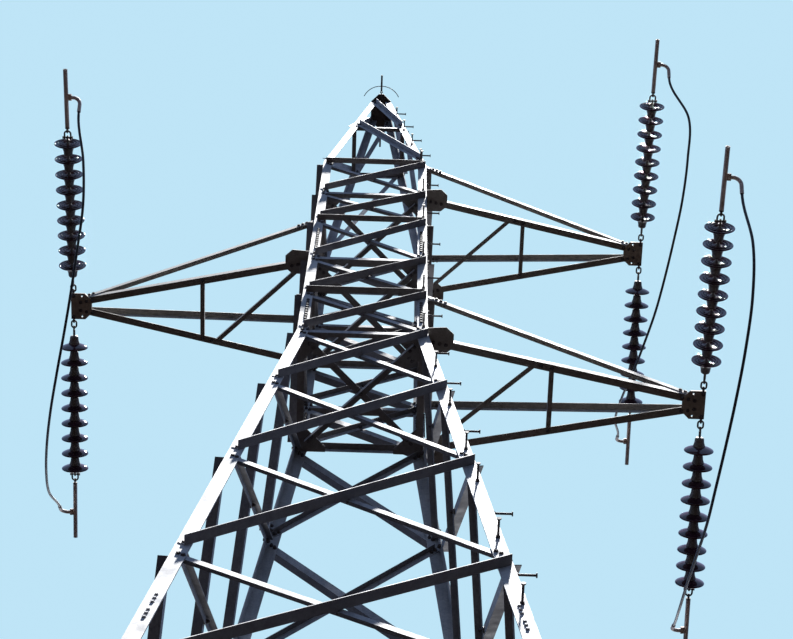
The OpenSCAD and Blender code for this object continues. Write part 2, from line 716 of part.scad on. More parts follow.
// Eye in the outer shackle, barrel with the conductor's bore, flag, and the jumper's bent end tube
module dead_end() {
    eye_r = link_rod / 2 + 5;
    eye_at = shackle_at + end_straight + end_half_gap - link_rod / 2 - eye_slack(end_half_gap, eye_t) + eye_r;
    difference() {
        union() {
            translate([0, 0, eye_at]) rotate([90, 0, 0])
                cylinder(h = eye_t, r = eye_r + 11, $fn = 32, center = true);
            translate([0, 0, barrel_at]) cylinder(h = clamp_len, d = clamp_d, $fn = 32);
            translate([-6, 0, barrel_at + flag_at - 30]) cube([12, flag_out, 60]);
        }
        translate([0, 0, eye_at]) rotate([90, 0, 0])
            cylinder(h = eye_t + 2, r = eye_r, $fn = 32, center = true);
        translate([0, 0, barrel_at + clamp_len - bore_depth])
            cylinder(h = bore_depth + 1, d = conductor_bore, $fn = 32);
    }
    translate([-pad_t - 6, clamp_d / 2 + 8, barrel_at + flag_at - 28])
        cube([pad_t + 1, flag_out - clamp_d / 2 - 8, 56]);
    translate([-pad_t, flag_out - bite, barrel_at + flag_at]) rotate([-90, 0, 0])
        cylinder(h = tube_start - flag_out + bite, d = jumper_tube_d, $fn = 24);
    translate([-pad_t, tube_start, barrel_at + flag_at]) rotate([0, jumper_dive, 0]) bent_tube();
}

// Quarter bend that leaves along +Y and goes on along -Z to the jumper's cable
module bent_tube() {
    translate([0, 0, -jumper_bend]) rotate([90, 0, 90])
        rotate_extrude(angle = 90, $fn = 48) translate([jumper_bend, 0])
            circle(d = jumper_tube_d - step, $fn = 24);
    translate([0, jumper_bend, -jumper_bend - jumper_leg])
        cylinder(h = jumper_leg, d = jumper_tube_d, $fn = 24);
}

// Round cable swept along points: each ring stands square to the route's direction there
module cable(points, diameter, sides = 8) {
    n = len(points);
    tangent = [for (i = [0:n - 1]) unit(points[min(i + 1, n - 1)] - points[max(i - 1, 0)])];
    rings = [for (i = [0:n - 1], k = [0:sides - 1])
        let(u = across([1, 0.2, 0.1], tangent[i]), v = cross(tangent[i], u), a = 360 * k / sides)
        points[i] + diameter / 2 * (cos(a) * u + sin(a) * v)];
    walls = [for (i = [0:n - 2], k = [0:sides - 1]) let(j = (k + 1) % sides)
        [i * sides + k, i * sides + j, (i + 1) * sides + j, (i + 1) * sides + k]];
    polyhedron(rings, concat([[for (k = [sides - 1:-1:0]) k]], walls,
        [[for (k = [0:sides - 1]) (n - 1) * sides + k]]));
}

// Smooth curve through hand-placed points, with steps between each two
function curve_through(p, steps = 2) =
    let(n = len(p)) concat(
        [for (i = [0:n - 2], s = [0:steps - 1])
            let(a = p[max(i - 1, 0)], b = p[i], c = p[i + 1], d = p[min(i + 2, n - 1)], t = s / steps)
            0.5 * (2 * b + (c - a) * t + (2 * a - 5 * b + 4 * c - d) * t * t
                + (3 * b - a - 3 * c + d) * t * t * t)],
        [p[n - 1]]);

// Routes of the jumper loops between their end tubes, from front to back
left_route = [
    [-2540, -1585, 19390], [-2510, -1245, 19140], [-2535, -895, 18920], [-2575, -540, 18765],
    [-2630, -190, 18690], [-2700, 175, 18690], [-2775, 555, 18760], [-2840, 930, 18895],
    [-2890, 1300, 19095], [-2915, 1630, 19360]
];
top_route = [
    [3105, -1630, 21575], [3090, -1285, 21315], [3040, -915, 21110], [2970, -550, 20980],
    [2900, -170, 20920], [2835, 185, 20930], [2760, 545, 21015], [2685, 915, 21155],
    [2620, 1260, 21370], [2595, 1610, 21625]
];
low_route = [
    [3075, -1650, 17265], [3060, -1300, 16985], [3005, -915, 16785], [2945, -550, 16665],
    [2890, -180, 16620], [2845, 185, 16640], [2815, 540, 16730], [2780, 895, 16885],
    [2750, 1265, 17080], [2745, 1615, 17330]
];

// Cable from the end tube at first to the one at last. Both tubes point back along the line and down.
module jumper(route, first, last) {
    lead = 70;
    dive_1 = [0, 1, 0] * cos(jumper_fall) - UP * sin(jumper_fall);
    dive_2 = [0, -1, 0] * cos(jumper_fall) - UP * sin(jumper_fall);
    middle = curve_through(concat([first + lead * dive_1], route, [last + lead * dive_2]));
    color(CABLE) cable(concat([first], middle, [last]), jumper_d);
}

low = cage_levels[0];
left = cage_levels[2];
top = cage_levels[4];

leg(-1, -1);  // leg_front_left
leg(1, -1);  // leg_front_right
leg(-1, 1);  // leg_back_left
leg(1, 1);  // leg_back_right
cage_leg(-1, -1);  // cage_leg_front_left
cage_leg(1, -1);  // cage_leg_front_right
cage_leg(-1, 1);  // cage_leg_back_left
cage_leg(1, 1);  // cage_leg_back_right
body_bracing(0);  // body_bracing_front
body_bracing(1);  // body_bracing_right
body_bracing(2);  // body_bracing_back
body_bracing(3);  // body_bracing_left
base_bracing(0);  // base_bracing_front
base_bracing(1);  // base_bracing_right
base_bracing(2);  // base_bracing_back
base_bracing(3);  // base_bracing_left
cage_bracing(0);  // cage_bracing_front
cage_bracing(1);  // cage_bracing_right
cage_bracing(2);  // cage_bracing_back
cage_bracing(3);  // cage_bracing_left
plan_bracing(base_level, 320, base_brace_w, base_brace_t, lean(0, base_level));  // plan_bracing_base
for (z = [low, left, top]) plan_bracing(z, 250, strut_w, strut_t);  // plan_bracing_cage
peak_frame();
peak_head();
peak_fittings();
step_bolts();
arm_side(true) arm_frame(left, reach_left);  // arm_frame_left
arm_side(false) arm_frame(top, reach_top);  // arm_frame_top_right
arm_side(false) arm_frame(low, reach_low);  // arm_frame_low_right
arm_side(true) arm_ties(left, cage_levels[3], reach_left);  // arm_ties_left
arm_side(false) arm_ties(top, cage_levels[5], reach_top);  // arm_ties_top_right
arm_side(false) arm_ties(low, cage_levels[1], reach_low);  // arm_ties_low_right
arm_side(true) tip_plate(left, reach_left);  // tip_plate_left
arm_side(false) tip_plate(top, reach_top);  // tip_plate_top_right
arm_side(false) tip_plate(low, reach_low);  // tip_plate_low_right
arm_side(true) for (cy = [-1, 1]) insulator_string(left, reach_left, cy);  // insulators_left
for (cy = [-1, 1]) insulator_string(top, reach_top, cy);  // insulators_top_right
for (cy = [-1, 1]) insulator_string(low, reach_low, cy);  // insulators_low_right
arm_side(true) for (cy = [-1, 1]) string_fittings(left, reach_left, cy);  // fittings_left
for (cy = [-1, 1]) string_fittings(top, reach_top, cy);  // fittings_top_right
for (cy = [-1, 1]) string_fittings(low, reach_low, cy);  // fittings_low_right
jumper(left_route, turned_round(string_point(left, reach_left, 1, tube_end)),  // jumper_left
        turned_round(string_point(left, reach_left, -1, tube_end)));
jumper(top_route, string_point(top, reach_top, -1, tube_end), string_point(top, reach_top, 1, tube_end));  // jumper_top_right
jumper(low_route, string_point(low, reach_low, -1, tube_end), string_point(low, reach_low, 1, tube_end));  // jumper_low_right
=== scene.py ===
"""Dresses the lattice transmission pylon: bolts, weld beads, glazed discs, jumper cables, weathered
zinc, and the stage with its camera. Metres, +Z up, in the CAD frame: the front face looks to -Y.
"""

import json
import math

import bpy
import numpy as np
from bpy.props import FloatProperty, FloatVectorProperty, IntProperty
from mathutils import Matrix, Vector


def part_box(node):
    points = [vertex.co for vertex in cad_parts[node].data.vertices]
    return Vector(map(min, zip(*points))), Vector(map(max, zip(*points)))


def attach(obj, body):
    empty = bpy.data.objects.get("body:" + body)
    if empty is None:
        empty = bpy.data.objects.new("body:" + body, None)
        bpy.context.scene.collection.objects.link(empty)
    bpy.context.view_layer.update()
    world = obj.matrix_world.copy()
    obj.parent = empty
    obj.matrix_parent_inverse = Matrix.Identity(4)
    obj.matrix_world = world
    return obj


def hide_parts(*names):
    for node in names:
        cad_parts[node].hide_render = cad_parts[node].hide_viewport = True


bl_info = {
    "name": "Lattice pylon dressing",
    "version": (1, 0, 0),
    "blender": (4, 5, 0),
    "location": "3D View > Sidebar > Pylon",
    "description": "Fasteners, insulators, cables, finishes and stage of a lattice pylon",
    "category": "Object",
}

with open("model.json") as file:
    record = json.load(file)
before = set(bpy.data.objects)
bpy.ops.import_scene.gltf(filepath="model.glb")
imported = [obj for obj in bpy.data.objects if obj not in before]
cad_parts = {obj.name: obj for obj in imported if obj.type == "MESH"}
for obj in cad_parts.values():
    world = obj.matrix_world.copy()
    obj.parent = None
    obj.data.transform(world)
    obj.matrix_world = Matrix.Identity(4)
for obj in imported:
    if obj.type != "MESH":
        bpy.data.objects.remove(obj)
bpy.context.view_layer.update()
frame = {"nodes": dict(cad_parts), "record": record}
MATERIAL_OF_SLOT = {}

# Levels that the frame itself gives
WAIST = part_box("cage_leg_front_left")[0].z
CAGE_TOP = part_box("cage_leg_front_left")[1].z
PEAK_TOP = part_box("peak_head")[0].z
ARMS = ("left", "top_right", "low_right")
RIGHT, BACK, UP = np.eye(3)
CORNERS = ((-1, -1), (-1, 1), (1, -1), (1, 1))
EPS = 0.0002

# Levels of the joints, worked out from the frame's waist and cage
BODY_PANELS = (1.55, 1.82, 1.88, 1.80, 2.40, 2.65, 2.90)
CAGE_PANELS = (1.035, 1.020, 1.235, 1.010, 1.190)
BODY_LEVELS = [WAIST - sum(BODY_PANELS[:i]) for i in range(len(BODY_PANELS) + 1)]
CAGE_LEVELS = [WAIST + sum(CAGE_PANELS[:i]) for i in range(len(CAGE_PANELS) + 1)]
PEAK_MID = CAGE_TOP + 2.64
PEAK_FOOT_GAP = 0.38
PEAK_END_GAP = 0.145
LEG_T, LEG_W, PEAK_LEG_T = 0.010, 0.100, 0.008
OUTER_T, INNER_T, STRUT_T, BASE_T = 0.006, 0.005, 0.005, 0.007
CHORD_T, CHORD_W, TIE_T, TIE_W = 0.006, 0.065, 0.005, 0.060
GUSSET_T, PLATE_DROP, TIP_T = 0.008, 0.030, 0.014
CHORD_INSET, TIP_CHORD_GAP = 0.025, 0.142
BAR_BOLTS = (-0.008, 0.034)
CAGE_SPLICES = ((WAIST + 0.25, WAIST + 0.81), (CAGE_LEVELS[2] + 0.22, CAGE_LEVELS[2] + 0.90))
SPLICE_T, SPLICE_W = 0.008, 0.078
CLAMP_FROM = 1.76
# The string's parts, along its line from the inner end of its link
LINK_Y, BARREL_AT, FLAG_AT = 0.1454, 1.6066, 0.300
EYE_AT, EYE_R, EYE_T, PIN_R = 0.0716, 0.013, 0.014, 0.011
TUBE_START, TUBE_BEND, TUBE_LEG, PAD_T = 0.060, 0.070, 0.080, 0.010
# Points of the jumper loops, from front to back
ROUTES = {
    "left": (
        (-2.540, -1.585, 19.390), (-2.510, -1.245, 19.140), (-2.535, -0.895, 18.920),
        (-2.575, -0.540, 18.765), (-2.630, -0.190, 18.690), (-2.700, 0.175, 18.690),
        (-2.775, 0.555, 18.760), (-2.840, 0.930, 18.895), (-2.890, 1.300, 19.095),
        (-2.915, 1.630, 19.360)),
    "top_right": (
        (3.105, -1.630, 21.575), (3.090, -1.285, 21.315), (3.040, -0.915, 21.110),
        (2.970, -0.550, 20.980), (2.900, -0.170, 20.920), (2.835, 0.185, 20.930),
        (2.760, 0.545, 21.015), (2.685, 0.915, 21.155), (2.620, 1.260, 21.370),
        (2.595, 1.610, 21.625)),
    "low_right": (
        (3.075, -1.650, 17.265), (3.060, -1.300, 16.985), (3.005, -0.915, 16.785),
        (2.945, -0.550, 16.665), (2.890, -0.180, 16.620), (2.845, 0.185, 16.640),
        (2.815, 0.540, 16.730), (2.780, 0.895, 16.885), (2.750, 1.265, 17.080),
        (2.745, 1.615, 17.330)),
}


class TowerSizes(bpy.types.PropertyGroup):
    """Widths and levels that the joints of the tower follow"""

    base_width: FloatProperty(
        name="Base width", description="Heel to heel of the legs at the ground",
        default=4.22, unit="LENGTH")
    waist_width: FloatProperty(
        name="Waist width", description="Heel to heel where the cage starts",
        default=1.1, unit="LENGTH")
    cage_width: FloatProperty(
        name="Cage width", description="Heel to heel at the top of the cage",
        default=1.12, unit="LENGTH")
    head_width: FloatProperty(
        name="Head width", description="Heel to heel at the head of the peak",
        default=0.256, unit="LENGTH")
    gauge: FloatProperty(
        name="Gauge", description="Distance of the bolt line from a leg's heel",
        default=0.056, unit="LENGTH")
    setback: FloatProperty(
        name="Setback", description="Distance of a brace's bolt from the level of its joint",
        default=0.092, unit="LENGTH")
    bolt_size: FloatProperty(
        name="Bolt size", description="Diameter of the bolts of braces and splices",
        default=0.016, unit="LENGTH")
    step_pitch: FloatProperty(
        name="Step pitch", description="Height between two climbing steps",
        default=0.53, unit="LENGTH")


class InsulatorSizes(bpy.types.PropertyGroup):
    """The disc strings"""

    disc_diameter: FloatProperty(
        name="Disc diameter", description="Outer diameter of a disc",
        default=0.255, unit="LENGTH")
    disc_pitch: FloatProperty(
        name="Disc pitch", description="Distance from one disc to the next",
        default=0.15, unit="LENGTH")
    disc_count: IntProperty(
        name="Discs", description="Number of discs in a string", default=9)
    first_disc: FloatProperty(
        name="First disc", description="Distance of the first disc from the arm's middle",
        default=0.386, unit="LENGTH")
    droop: FloatProperty(
        name="Droop", description="Fall of the strings from level",
        default=math.radians(5), subtype="ANGLE")
    sides: IntProperty(
        name="Sides", description="Facets around a disc", default=44)


class CableSizes(bpy.types.PropertyGroup):
    """The jumper loops"""

    diameter: FloatProperty(
        name="Cable diameter", description="Diameter of the jumper cable",
        default=0.024, unit="LENGTH")
    fall: FloatProperty(
        name="End fall", description="Fall of the cable where it leaves its end tubes",
        default=math.radians(46), subtype="ANGLE")
    pull: FloatProperty(
        name="Pull", description="How strongly the cable keeps the direction of its end tubes",
        default=1.0)


class FinishColours(bpy.types.PropertyGroup):
    """Colours of the finishes"""

    leg_zinc: FloatVectorProperty(
        name="Leg zinc", description="Weathered zinc of the legs",
        default=(0.30, 0.305, 0.315), subtype="COLOR")
    brace_zinc: FloatVectorProperty(
        name="Brace zinc", description="Weathered zinc of the braces",
        default=(0.27, 0.275, 0.29), subtype="COLOR")
    arm_zinc: FloatVectorProperty(
        name="Arm zinc", description="Weathered zinc of the arms",
        default=(0.29, 0.28, 0.265), subtype="COLOR")
    peak_zinc: FloatVectorProperty(
        name="Peak zinc", description="Zinc of the peak",
        default=(0.27, 0.28, 0.305), subtype="COLOR")
    plate: FloatVectorProperty(
        name="Plate", description="Dark weathered plate at the tips",
        default=(0.34, 0.30, 0.26), subtype="COLOR")
    bolt: FloatVectorProperty(
        name="Bolt", description="Dull zinc of the fasteners",
        default=(0.085, 0.078, 0.08), subtype="COLOR")
    fitting: FloatVectorProperty(
        name="Fitting", description="Forged shackles, links and clamps",
        default=(0.11, 0.092, 0.09), subtype="COLOR")
    aluminium: FloatVectorProperty(
        name="Aluminium", description="Dead-end clamps and the jumpers' end tubes",
        default=(0.60, 0.53, 0.49), subtype="COLOR")
    glaze: FloatVectorProperty(
        name="Glaze", description="Brown glaze of the discs",
        default=(0.030, 0.015, 0.022), subtype="COLOR")
    cap: FloatVectorProperty(
        name="Cap", description="Zinc of the discs' caps",
        default=(0.19, 0.185, 0.18), subtype="COLOR")
    cable: FloatVectorProperty(
        name="Cable", description="Darkened strands of the jumpers",
        default=(0.035, 0.036, 0.04), subtype="COLOR")
    # Colour of the painted shade that is mixed into the zinc where surfaces face down
    grime_and_underside_shade: FloatVectorProperty(
        name="Grime", description="Dark film where rain doesn't reach",
        default=(0.050, 0.038, 0.034), subtype="COLOR")
    rust: FloatVectorProperty(
        name="Rust", description="Rust stain under the joints",
        default=(0.13, 0.060, 0.035), subtype="COLOR")
    floor: FloatVectorProperty(
        name="Floor", description="Pale floor", default=(0.062, 0.062, 0.061), subtype="COLOR")
    backdrop: FloatVectorProperty(
        name="Backdrop", description="Plain pale surroundings",
        default=(0.52, 0.78, 0.93), subtype="COLOR")


class CameraSizes(bpy.types.PropertyGroup):
    """The viewpoint under the near span"""

    place: FloatVectorProperty(
        name="Place", description="Where the camera stands",
        default=(0.264, -6.322, 1.653), subtype="XYZ_LENGTH")
    yaw: FloatProperty(
        name="Yaw", description="Turn to the right of the line's direction",
        default=math.radians(0.191), subtype="ANGLE")
    pitch: FloatProperty(
        name="Pitch", description="Tilt above the level",
        default=math.radians(70.914), subtype="ANGLE")
    roll: FloatProperty(
        name="Roll", description="Turn about the line of sight",
        default=math.radians(1.652), subtype="ANGLE")
    lens: FloatProperty(
        name="Lens", description="Focal length in millimetres on a 36 mm sensor",
        default=93.66, unit="CAMERA")


# Nodes of the materials


class Nodes:
    """Short-hand for one node tree: each method adds a node and returns its output."""

    def __init__(self, tree):
        self.tree = tree
        tree.nodes.clear()

    def add(self, kind, inputs=(), **settings):
        """Adds a node: settings are its own, inputs are sockets to link or values to set."""
        node = self.tree.nodes.new(kind)
        for key, value in settings.items():
            setattr(node, key, value)
        for key, value in dict(inputs).items():
            if isinstance(value, bpy.types.NodeSocket):
                self.tree.links.new(value, node.inputs[key])
            else:
                node.inputs[key].default_value = value
        return node

    def place(self, scale=(1, 1, 1)):
        """Object coordinates, scaled."""
        co = self.add("ShaderNodeTexCoord").outputs["Object"]
        return self.add("ShaderNodeMapping", {"Vector": co, "Scale": scale}).outputs[0]

    def noise(self, vector, scale, detail=4.0, rough=0.55):
        return self.add("ShaderNodeTexNoise", {
            "Vector": vector, "Scale": scale, "Detail": detail, "Roughness": rough}).outputs["Fac"]

    def ramp(self, fac, *stops):
        """Maps fac through stops of (position, grey or colour)."""
        node = self.add("ShaderNodeValToRGB", {"Fac": fac})
        points = node.color_ramp.elements
        while len(points) < len(stops):
            points.new(0.5)
        for point, (at, value) in zip(points, stops):
            point.position = at
            rgb = (value,) * 3 if isinstance(value, (int, float)) else tuple(value)
            point.color = (*rgb[:3], 1.0)
        return node.outputs["Color"]

    def underside_shade_mask(self):
        """Mask of the painted shade below: 1 where the surface faces down, 0 where it is upright or
        faces up.
        """
        facing = self.add("ShaderNodeSeparateXYZ", {
            0: self.add("ShaderNodeTexCoord").outputs["Normal"]}).outputs[2]
        return self.ramp(self.math("MULTIPLY", facing, -1.0), (0.25, 0.0), (0.70, 1.0))

    def mix(self, fac, a, b, blend="MIX"):
        """Colour a with b over it by fac; each is a socket or a value."""
        node = self.add("ShaderNodeMix", data_type="RGBA", blend_type=blend)
        for key, value in ((0, fac), (6, a), (7, b)):
            if isinstance(value, bpy.types.NodeSocket):
                self.tree.links.new(value, node.inputs[key])
            elif key == 0:
                node.inputs[0].default_value = value
            else:
                node.inputs[key].default_value = (*tuple(value)[:3], 1.0)
        return node.outputs[2]

    def math(self, operation, a, b=0.0):
        node = self.add("ShaderNodeMath", {0: a, 1: b}, operation=operation)
        return node.outputs[0]

    def surface(self, inputs, height=None, depth=0.001, strength=0.4):
        """Principled shader with an optional bump, joined to the output."""
        if height is not None:
            inputs = {**inputs, "Normal": self.add("ShaderNodeBump", {
                "Height": height, "Strength": strength, "Distance": depth}).outputs[0]}
        shader = self.add("ShaderNodeBsdfPrincipled", inputs)
        self.add("ShaderNodeOutputMaterial", {"Surface": shader.outputs[0]})


def new_material(name):
    material = bpy.data.materials.new(name)
    material.use_nodes = True
    return material, Nodes(material.node_tree)


def shade(colour, factor):
    return tuple(min(1.0, c * factor) for c in colour)


def weathered_zinc(name, colour, rust, grime_and_underside_shade, stain, grain, below, far=None):
    """Dull zinc: crystal spangle, cloudy patches, dirt that runs down, rust in spots, and painted
    shade that darkens the surfaces facing down.

    far, where it is given, is the colour past a distance along the line, and that distance."""
    material, n = new_material(name)
    flat = n.place()
    if far is not None:
        along = n.math("ABSOLUTE", n.add("ShaderNodeSeparateXYZ", {0: flat}).outputs[1])
        colour = n.mix(n.math("GREATER_THAN", along, far[1]), colour, far[0])
    spangle = n.add("ShaderNodeTexVoronoi", {"Vector": flat, "Scale": 70.0 * grain})
    crystals = n.ramp(n.add("ShaderNodeSeparateColor", {
        "Color": spangle.outputs["Color"]}).outputs[0], (0.0, 0.88), (1.0, 1.08))
    clouds = n.ramp(n.noise(flat, 2.6 * grain), (0.30, 0.78), (0.70, 1.10))
    runs = n.ramp(n.noise(n.place((22, 22, 0.9)), 1.0, 5.0, 0.6), (0.46, 0.0), (0.74, 1.0))
    spots = n.ramp(n.noise(flat, 7.0, 6.0, 0.65), (0.60, 0.0), (0.74, 1.0))
    base = n.mix(1.0, n.mix(1.0, colour, clouds, "MULTIPLY"), crystals, "MULTIPLY")
    dull = n.mix(1.0, base, (0.42, 0.42, 0.42), "MULTIPLY")
    dirty = n.mix(n.math("MULTIPLY", runs, 0.45), base, dull)
    stained = n.mix(n.math("MULTIPLY", spots, stain), dirty, rust)
    # Painted shade: surfaces that face down are darkened towards the shade colour, as far as below
    # says
    stained = n.mix(n.math("MULTIPLY", n.underside_shade_mask(), below), stained, grime_and_underside_shade)
    rough = n.ramp(n.noise(flat, 9.0), (0.3, 0.60), (0.7, 0.84))
    n.surface({"Base Color": stained, "Metallic": 0.1, "Roughness": rough,
               "Specular IOR Level": 0.25},
              n.noise(flat, 160.0, 3.0), 0.0006)
    return material


def glazed_porcelain(name, colour):
    """Glossy brown glaze, thinner and redder in patches, with a film of dust on top."""
    material, n = new_material(name)
    flat = n.place()
    patches = n.ramp(n.noise(flat, 16.0, 3.0), (0.35, 0.0), (0.70, 1.0))
    dust = n.ramp(n.noise(flat, 34.0, 6.0, 0.7), (0.52, 0.0), (0.80, 1.0))
    base = n.mix(patches, colour, shade(colour, 2.1))
    dusty = n.mix(n.math("MULTIPLY", dust, 0.22), base, (0.06, 0.056, 0.06))
    rough = n.ramp(dust, (0.0, 0.04), (1.0, 0.11))
    n.surface({"Base Color": dusty, "Roughness": rough, "IOR": 1.45}, n.noise(flat, 60.0, 2.0),
              0.0004, 0.12)
    return material


def strand_cable(name, colour, diameter):
    """Dark stranded wire: oblique ridges that wind round the cable on its own UV map, with painted
    shade darkening the grooves between the strands.
    """
    material, n = new_material(name)
    uv = n.add("ShaderNodeUVMap", uv_map="route").outputs[0]
    around, along = n.add("ShaderNodeSeparateXYZ", {0: uv}).outputs[:2]
    strands, lay_length = 12, 12 * diameter
    phase = n.math("ADD", n.math("MULTIPLY", around, 2 * math.pi * strands),
                   n.math("MULTIPLY", along, 2 * math.pi * strands / lay_length))
    ridges = n.math("ABSOLUTE", n.math("SINE", n.math("MULTIPLY", phase, 0.5)))
    grime_and_underside_shade = n.ramp(n.noise(n.place(), 24.0, 5.0), (0.3, 0.55), (0.75, 1.5))
    # Painted shade: the colour falls to about a third in the grooves between strands
    base = n.mix(1.0, n.mix(ridges, shade(colour, 0.35), colour), grime_and_underside_shade, "MULTIPLY")
    n.surface({"Base Color": base, "Metallic": 0.35, "Roughness": 0.5}, ridges, 0.0016, 0.8)
    return material


def plain_floor(name, colour):
    """Pale studio floor with a hardly visible cloudiness."""
    material, n = new_material(name)
    clouds = n.ramp(n.noise(n.place(), 0.7, 3.0), (0.3, 0.96), (0.7, 1.04))
    n.surface({"Base Color": n.mix(1.0, (*colour,), clouds, "MULTIPLY"), "Roughness": 0.85})
    return material


# Meshes from whole arrays


def mesh_piece(name, verts, faces, slot, smooth=False, uv=None):
    """Makes one mesh from points and faces, gives it its slot's finish, and lets it ride."""
    mesh = bpy.data.meshes.new(name)
    mesh.from_pydata(np.asarray(verts, float).tolist(), [], [tuple(f) for f in faces])
    mesh.polygons.foreach_set("use_smooth", np.full(len(mesh.polygons), smooth))
    if uv is not None:
        layer = mesh.uv_layers.new(name="route")
        corners = np.empty(len(mesh.loops), np.int32)
        mesh.loops.foreach_get("vertex_index", corners)
        layer.data.foreach_set("uv", np.asarray(uv, np.float32)[corners].ravel())
    mesh.validate()
    mesh.update()
    obj = bpy.data.objects.new(name, mesh)
    bpy.context.scene.collection.objects.link(obj)
    mesh.materials.append(MATERIAL_OF_SLOT[slot])
    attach(obj, "root")
    return obj


def wall_faces(rings, sides):
    """Quads between rings of a closed outline, ring after ring."""
    i, k = np.meshgrid(np.arange(rings - 1), np.arange(sides), indexing="ij")
    j = (k + 1) % sides
    quads = np.stack([i * sides + k, i * sides + j, (i + 1) * sides + j, (i + 1) * sides + k], -1)
    return quads.reshape(-1, 4).tolist()


def closed_faces(rings, sides):
    """Walls of a stack of rings with a lid at each end."""
    lids = [list(range(sides))[::-1], list(range((rings - 1) * sides, rings * sides))]
    return wall_faces(rings, sides) + lids


def looped_faces(rings, sides):
    """Walls of a closed section: the last ring joins the first."""
    quads = np.array(wall_faces(rings + 1, sides)) % (rings * sides)
    return quads.tolist()


def rounded(points):
    """Cuts each corner of an open outline: the new points lie a quarter in from both sides."""
    p = np.asarray(points, float)
    q = np.stack([0.75 * p[:-1] + 0.25 * p[1:], 0.25 * p[:-1] + 0.75 * p[1:]], 1).reshape(-1, 2)
    return np.concatenate([p[:1], q, p[-1:]])


def turned_profile(profile, sides):
    """Points r(cos a, sin a), z for each (r, z) of the profile and each angle a; +Z is the axis."""
    r, z = np.asarray(profile, float).T
    a = 2 * math.pi * np.arange(sides) / sides
    ring = np.stack([np.cos(a), np.sin(a)], -1)
    xy = r[:, None, None] * ring[None]
    return np.concatenate([xy, np.broadcast_to(z[:, None, None], (len(r), sides, 1))],
                          -1).reshape(-1, 3)


def joined(parts):
    """Joins (points, faces) pairs into one pair."""
    verts, faces, start = [], [], 0
    for points, polygons in parts:
        verts.append(points)
        faces += [[v + start for v in f] for f in polygons]
        start += len(points)
    return np.concatenate(verts), faces


def turned(shapes):
    """Closed shapes turned about +Z, each given as (profile, sides), in one pair."""
    return joined([(turned_profile(p, sides), closed_faces(len(p), sides)) for p, sides in shapes])


def basis(axis, spin=0.0):
    """Matrix whose columns are two cross directions, turned by spin, and the axis itself."""
    w = np.asarray(axis, float) / np.linalg.norm(axis)
    side = UP if abs(w[2]) < 0.9 else RIGHT
    u = np.cross(side, w)
    u /= np.linalg.norm(u)
    v = np.cross(w, u)
    c, s = math.cos(spin), math.sin(spin)
    return np.stack([c * u + s * v, c * v - s * u, w], 1)


def bolt_shape(size, out, inner):
    """Hex head and washer above +out, washer, nut and shank end below -inner: profiles turned
    about Z, in six sides for the hexagons and ten for the washers."""
    across, washer, thick = 0.87 * size, 1.05 * size, 0.2 * size
    head, nut = out + thick, -inner - thick
    return turned([
        ([(washer, out), (washer, head)], 10),
        ([(across, head), (across, head + 0.52 * size), (0.8 * across, head + 0.64 * size)], 6),
        ([(washer, nut), (washer, -inner)], 10),
        ([(0.8 * across, nut - 0.85 * size), (across, nut - 0.72 * size), (across, nut)], 6),
        ([(0.5 * size, nut - 1.35 * size), (0.5 * size, nut - 0.8 * size)], 6),
    ])


def fasteners(name, rows, size, slot="step_steel:bolt"):
    """Places a bolt at each row (point, outward axis, thickness outside, thickness inside).
    Every copy is moved by its own matrix, with the hexagons turned at random."""
    rng = np.random.default_rng(len(rows))
    parts = []
    for point, axis, out, inner in rows:
        verts, faces = bolt_shape(size, out, inner)
        turn = basis(axis, rng.uniform(0, math.pi / 3))
        parts.append((verts @ turn.T + np.asarray(point, float), faces))
    return mesh_piece(name, *joined(parts), slot)


def tube(points, radius, sides=8):
    """Points p + radius (cos a u + sin a v) round each point p of a path, and their faces; u and v
    stand square to the path and follow one guide, so the rod doesn't twist."""
    p = np.asarray(points, float)
    t = np.gradient(p, axis=0)
    t /= np.linalg.norm(t, axis=1, keepdims=True)
    guide = np.array([1.0, 0.2, 0.1])
    u = guide - (t @ guide)[:, None] * t
    u /= np.linalg.norm(u, axis=1, keepdims=True)
    v = np.cross(t, u)
    a = 2 * math.pi * np.arange(sides) / sides
    ring = np.cos(a)[None, :, None] * u[:, None] + np.sin(a)[None, :, None] * v[:, None]
    return (p[:, None] + radius * ring).reshape(-1, 3), closed_faces(len(p), sides)


def ripple_bead(path, radius):
    """Weld bead: a round rod along the path whose radius swells and shrinks as the pool moved."""
    verts, faces = tube(path, 1.0, 6)
    rings = verts.reshape(len(path), 6, 3)
    swell = radius * (1 + 0.18 * np.sin(np.arange(len(path)) * 2.1))
    centre = np.asarray(path)[:, None]
    return (centre + (rings - centre) * swell[:, None, None]).reshape(-1, 3), faces


def smooth_route(points, steps, before, after):
    """Catmull-Rom curve through the points, as whole arrays: before and after steer its ends."""
    p = np.asarray(points, float)
    q = np.concatenate([[before], p, [after]])
    t = (np.arange(steps) / steps)[None, :, None]
    a, b, c, d = (q[i:i + len(p) - 1][:, None] for i in range(4))
    curve = 0.5 * (2 * b + (c - a) * t + (2 * a - 5 * b + 4 * c - d) * t ** 2
                   + (3 * b - a - 3 * c + d) * t ** 3)
    return np.concatenate([curve.reshape(-1, 3), p[-1:]])


# Places of the joints


def sizes():
    return bpy.context.scene.pylon_tower


def half_width(z):
    """Half the tower's width at height z: straight between ground, waist, cage top and head."""
    s = sizes()
    return float(np.interp(z, [0, WAIST, CAGE_TOP, PEAK_TOP], [
        s.base_width / 2, s.waist_width / 2, s.cage_width / 2, s.head_width / 2]))


def bolt_point(cx, z, inset=0.0):
    """Point of the front face on a leg's bolt line at height z."""
    return np.array([cx * (half_width(z) - sizes().gauge - inset), -half_width(z), z])


def face_normal(z0, z1):
    """Outward direction of the front face between two heights."""
    lean = (half_width(z0) - half_width(z1)) / (z1 - z0)
    return np.array([0.0, -1.0, lean]) / math.hypot(1.0, lean)


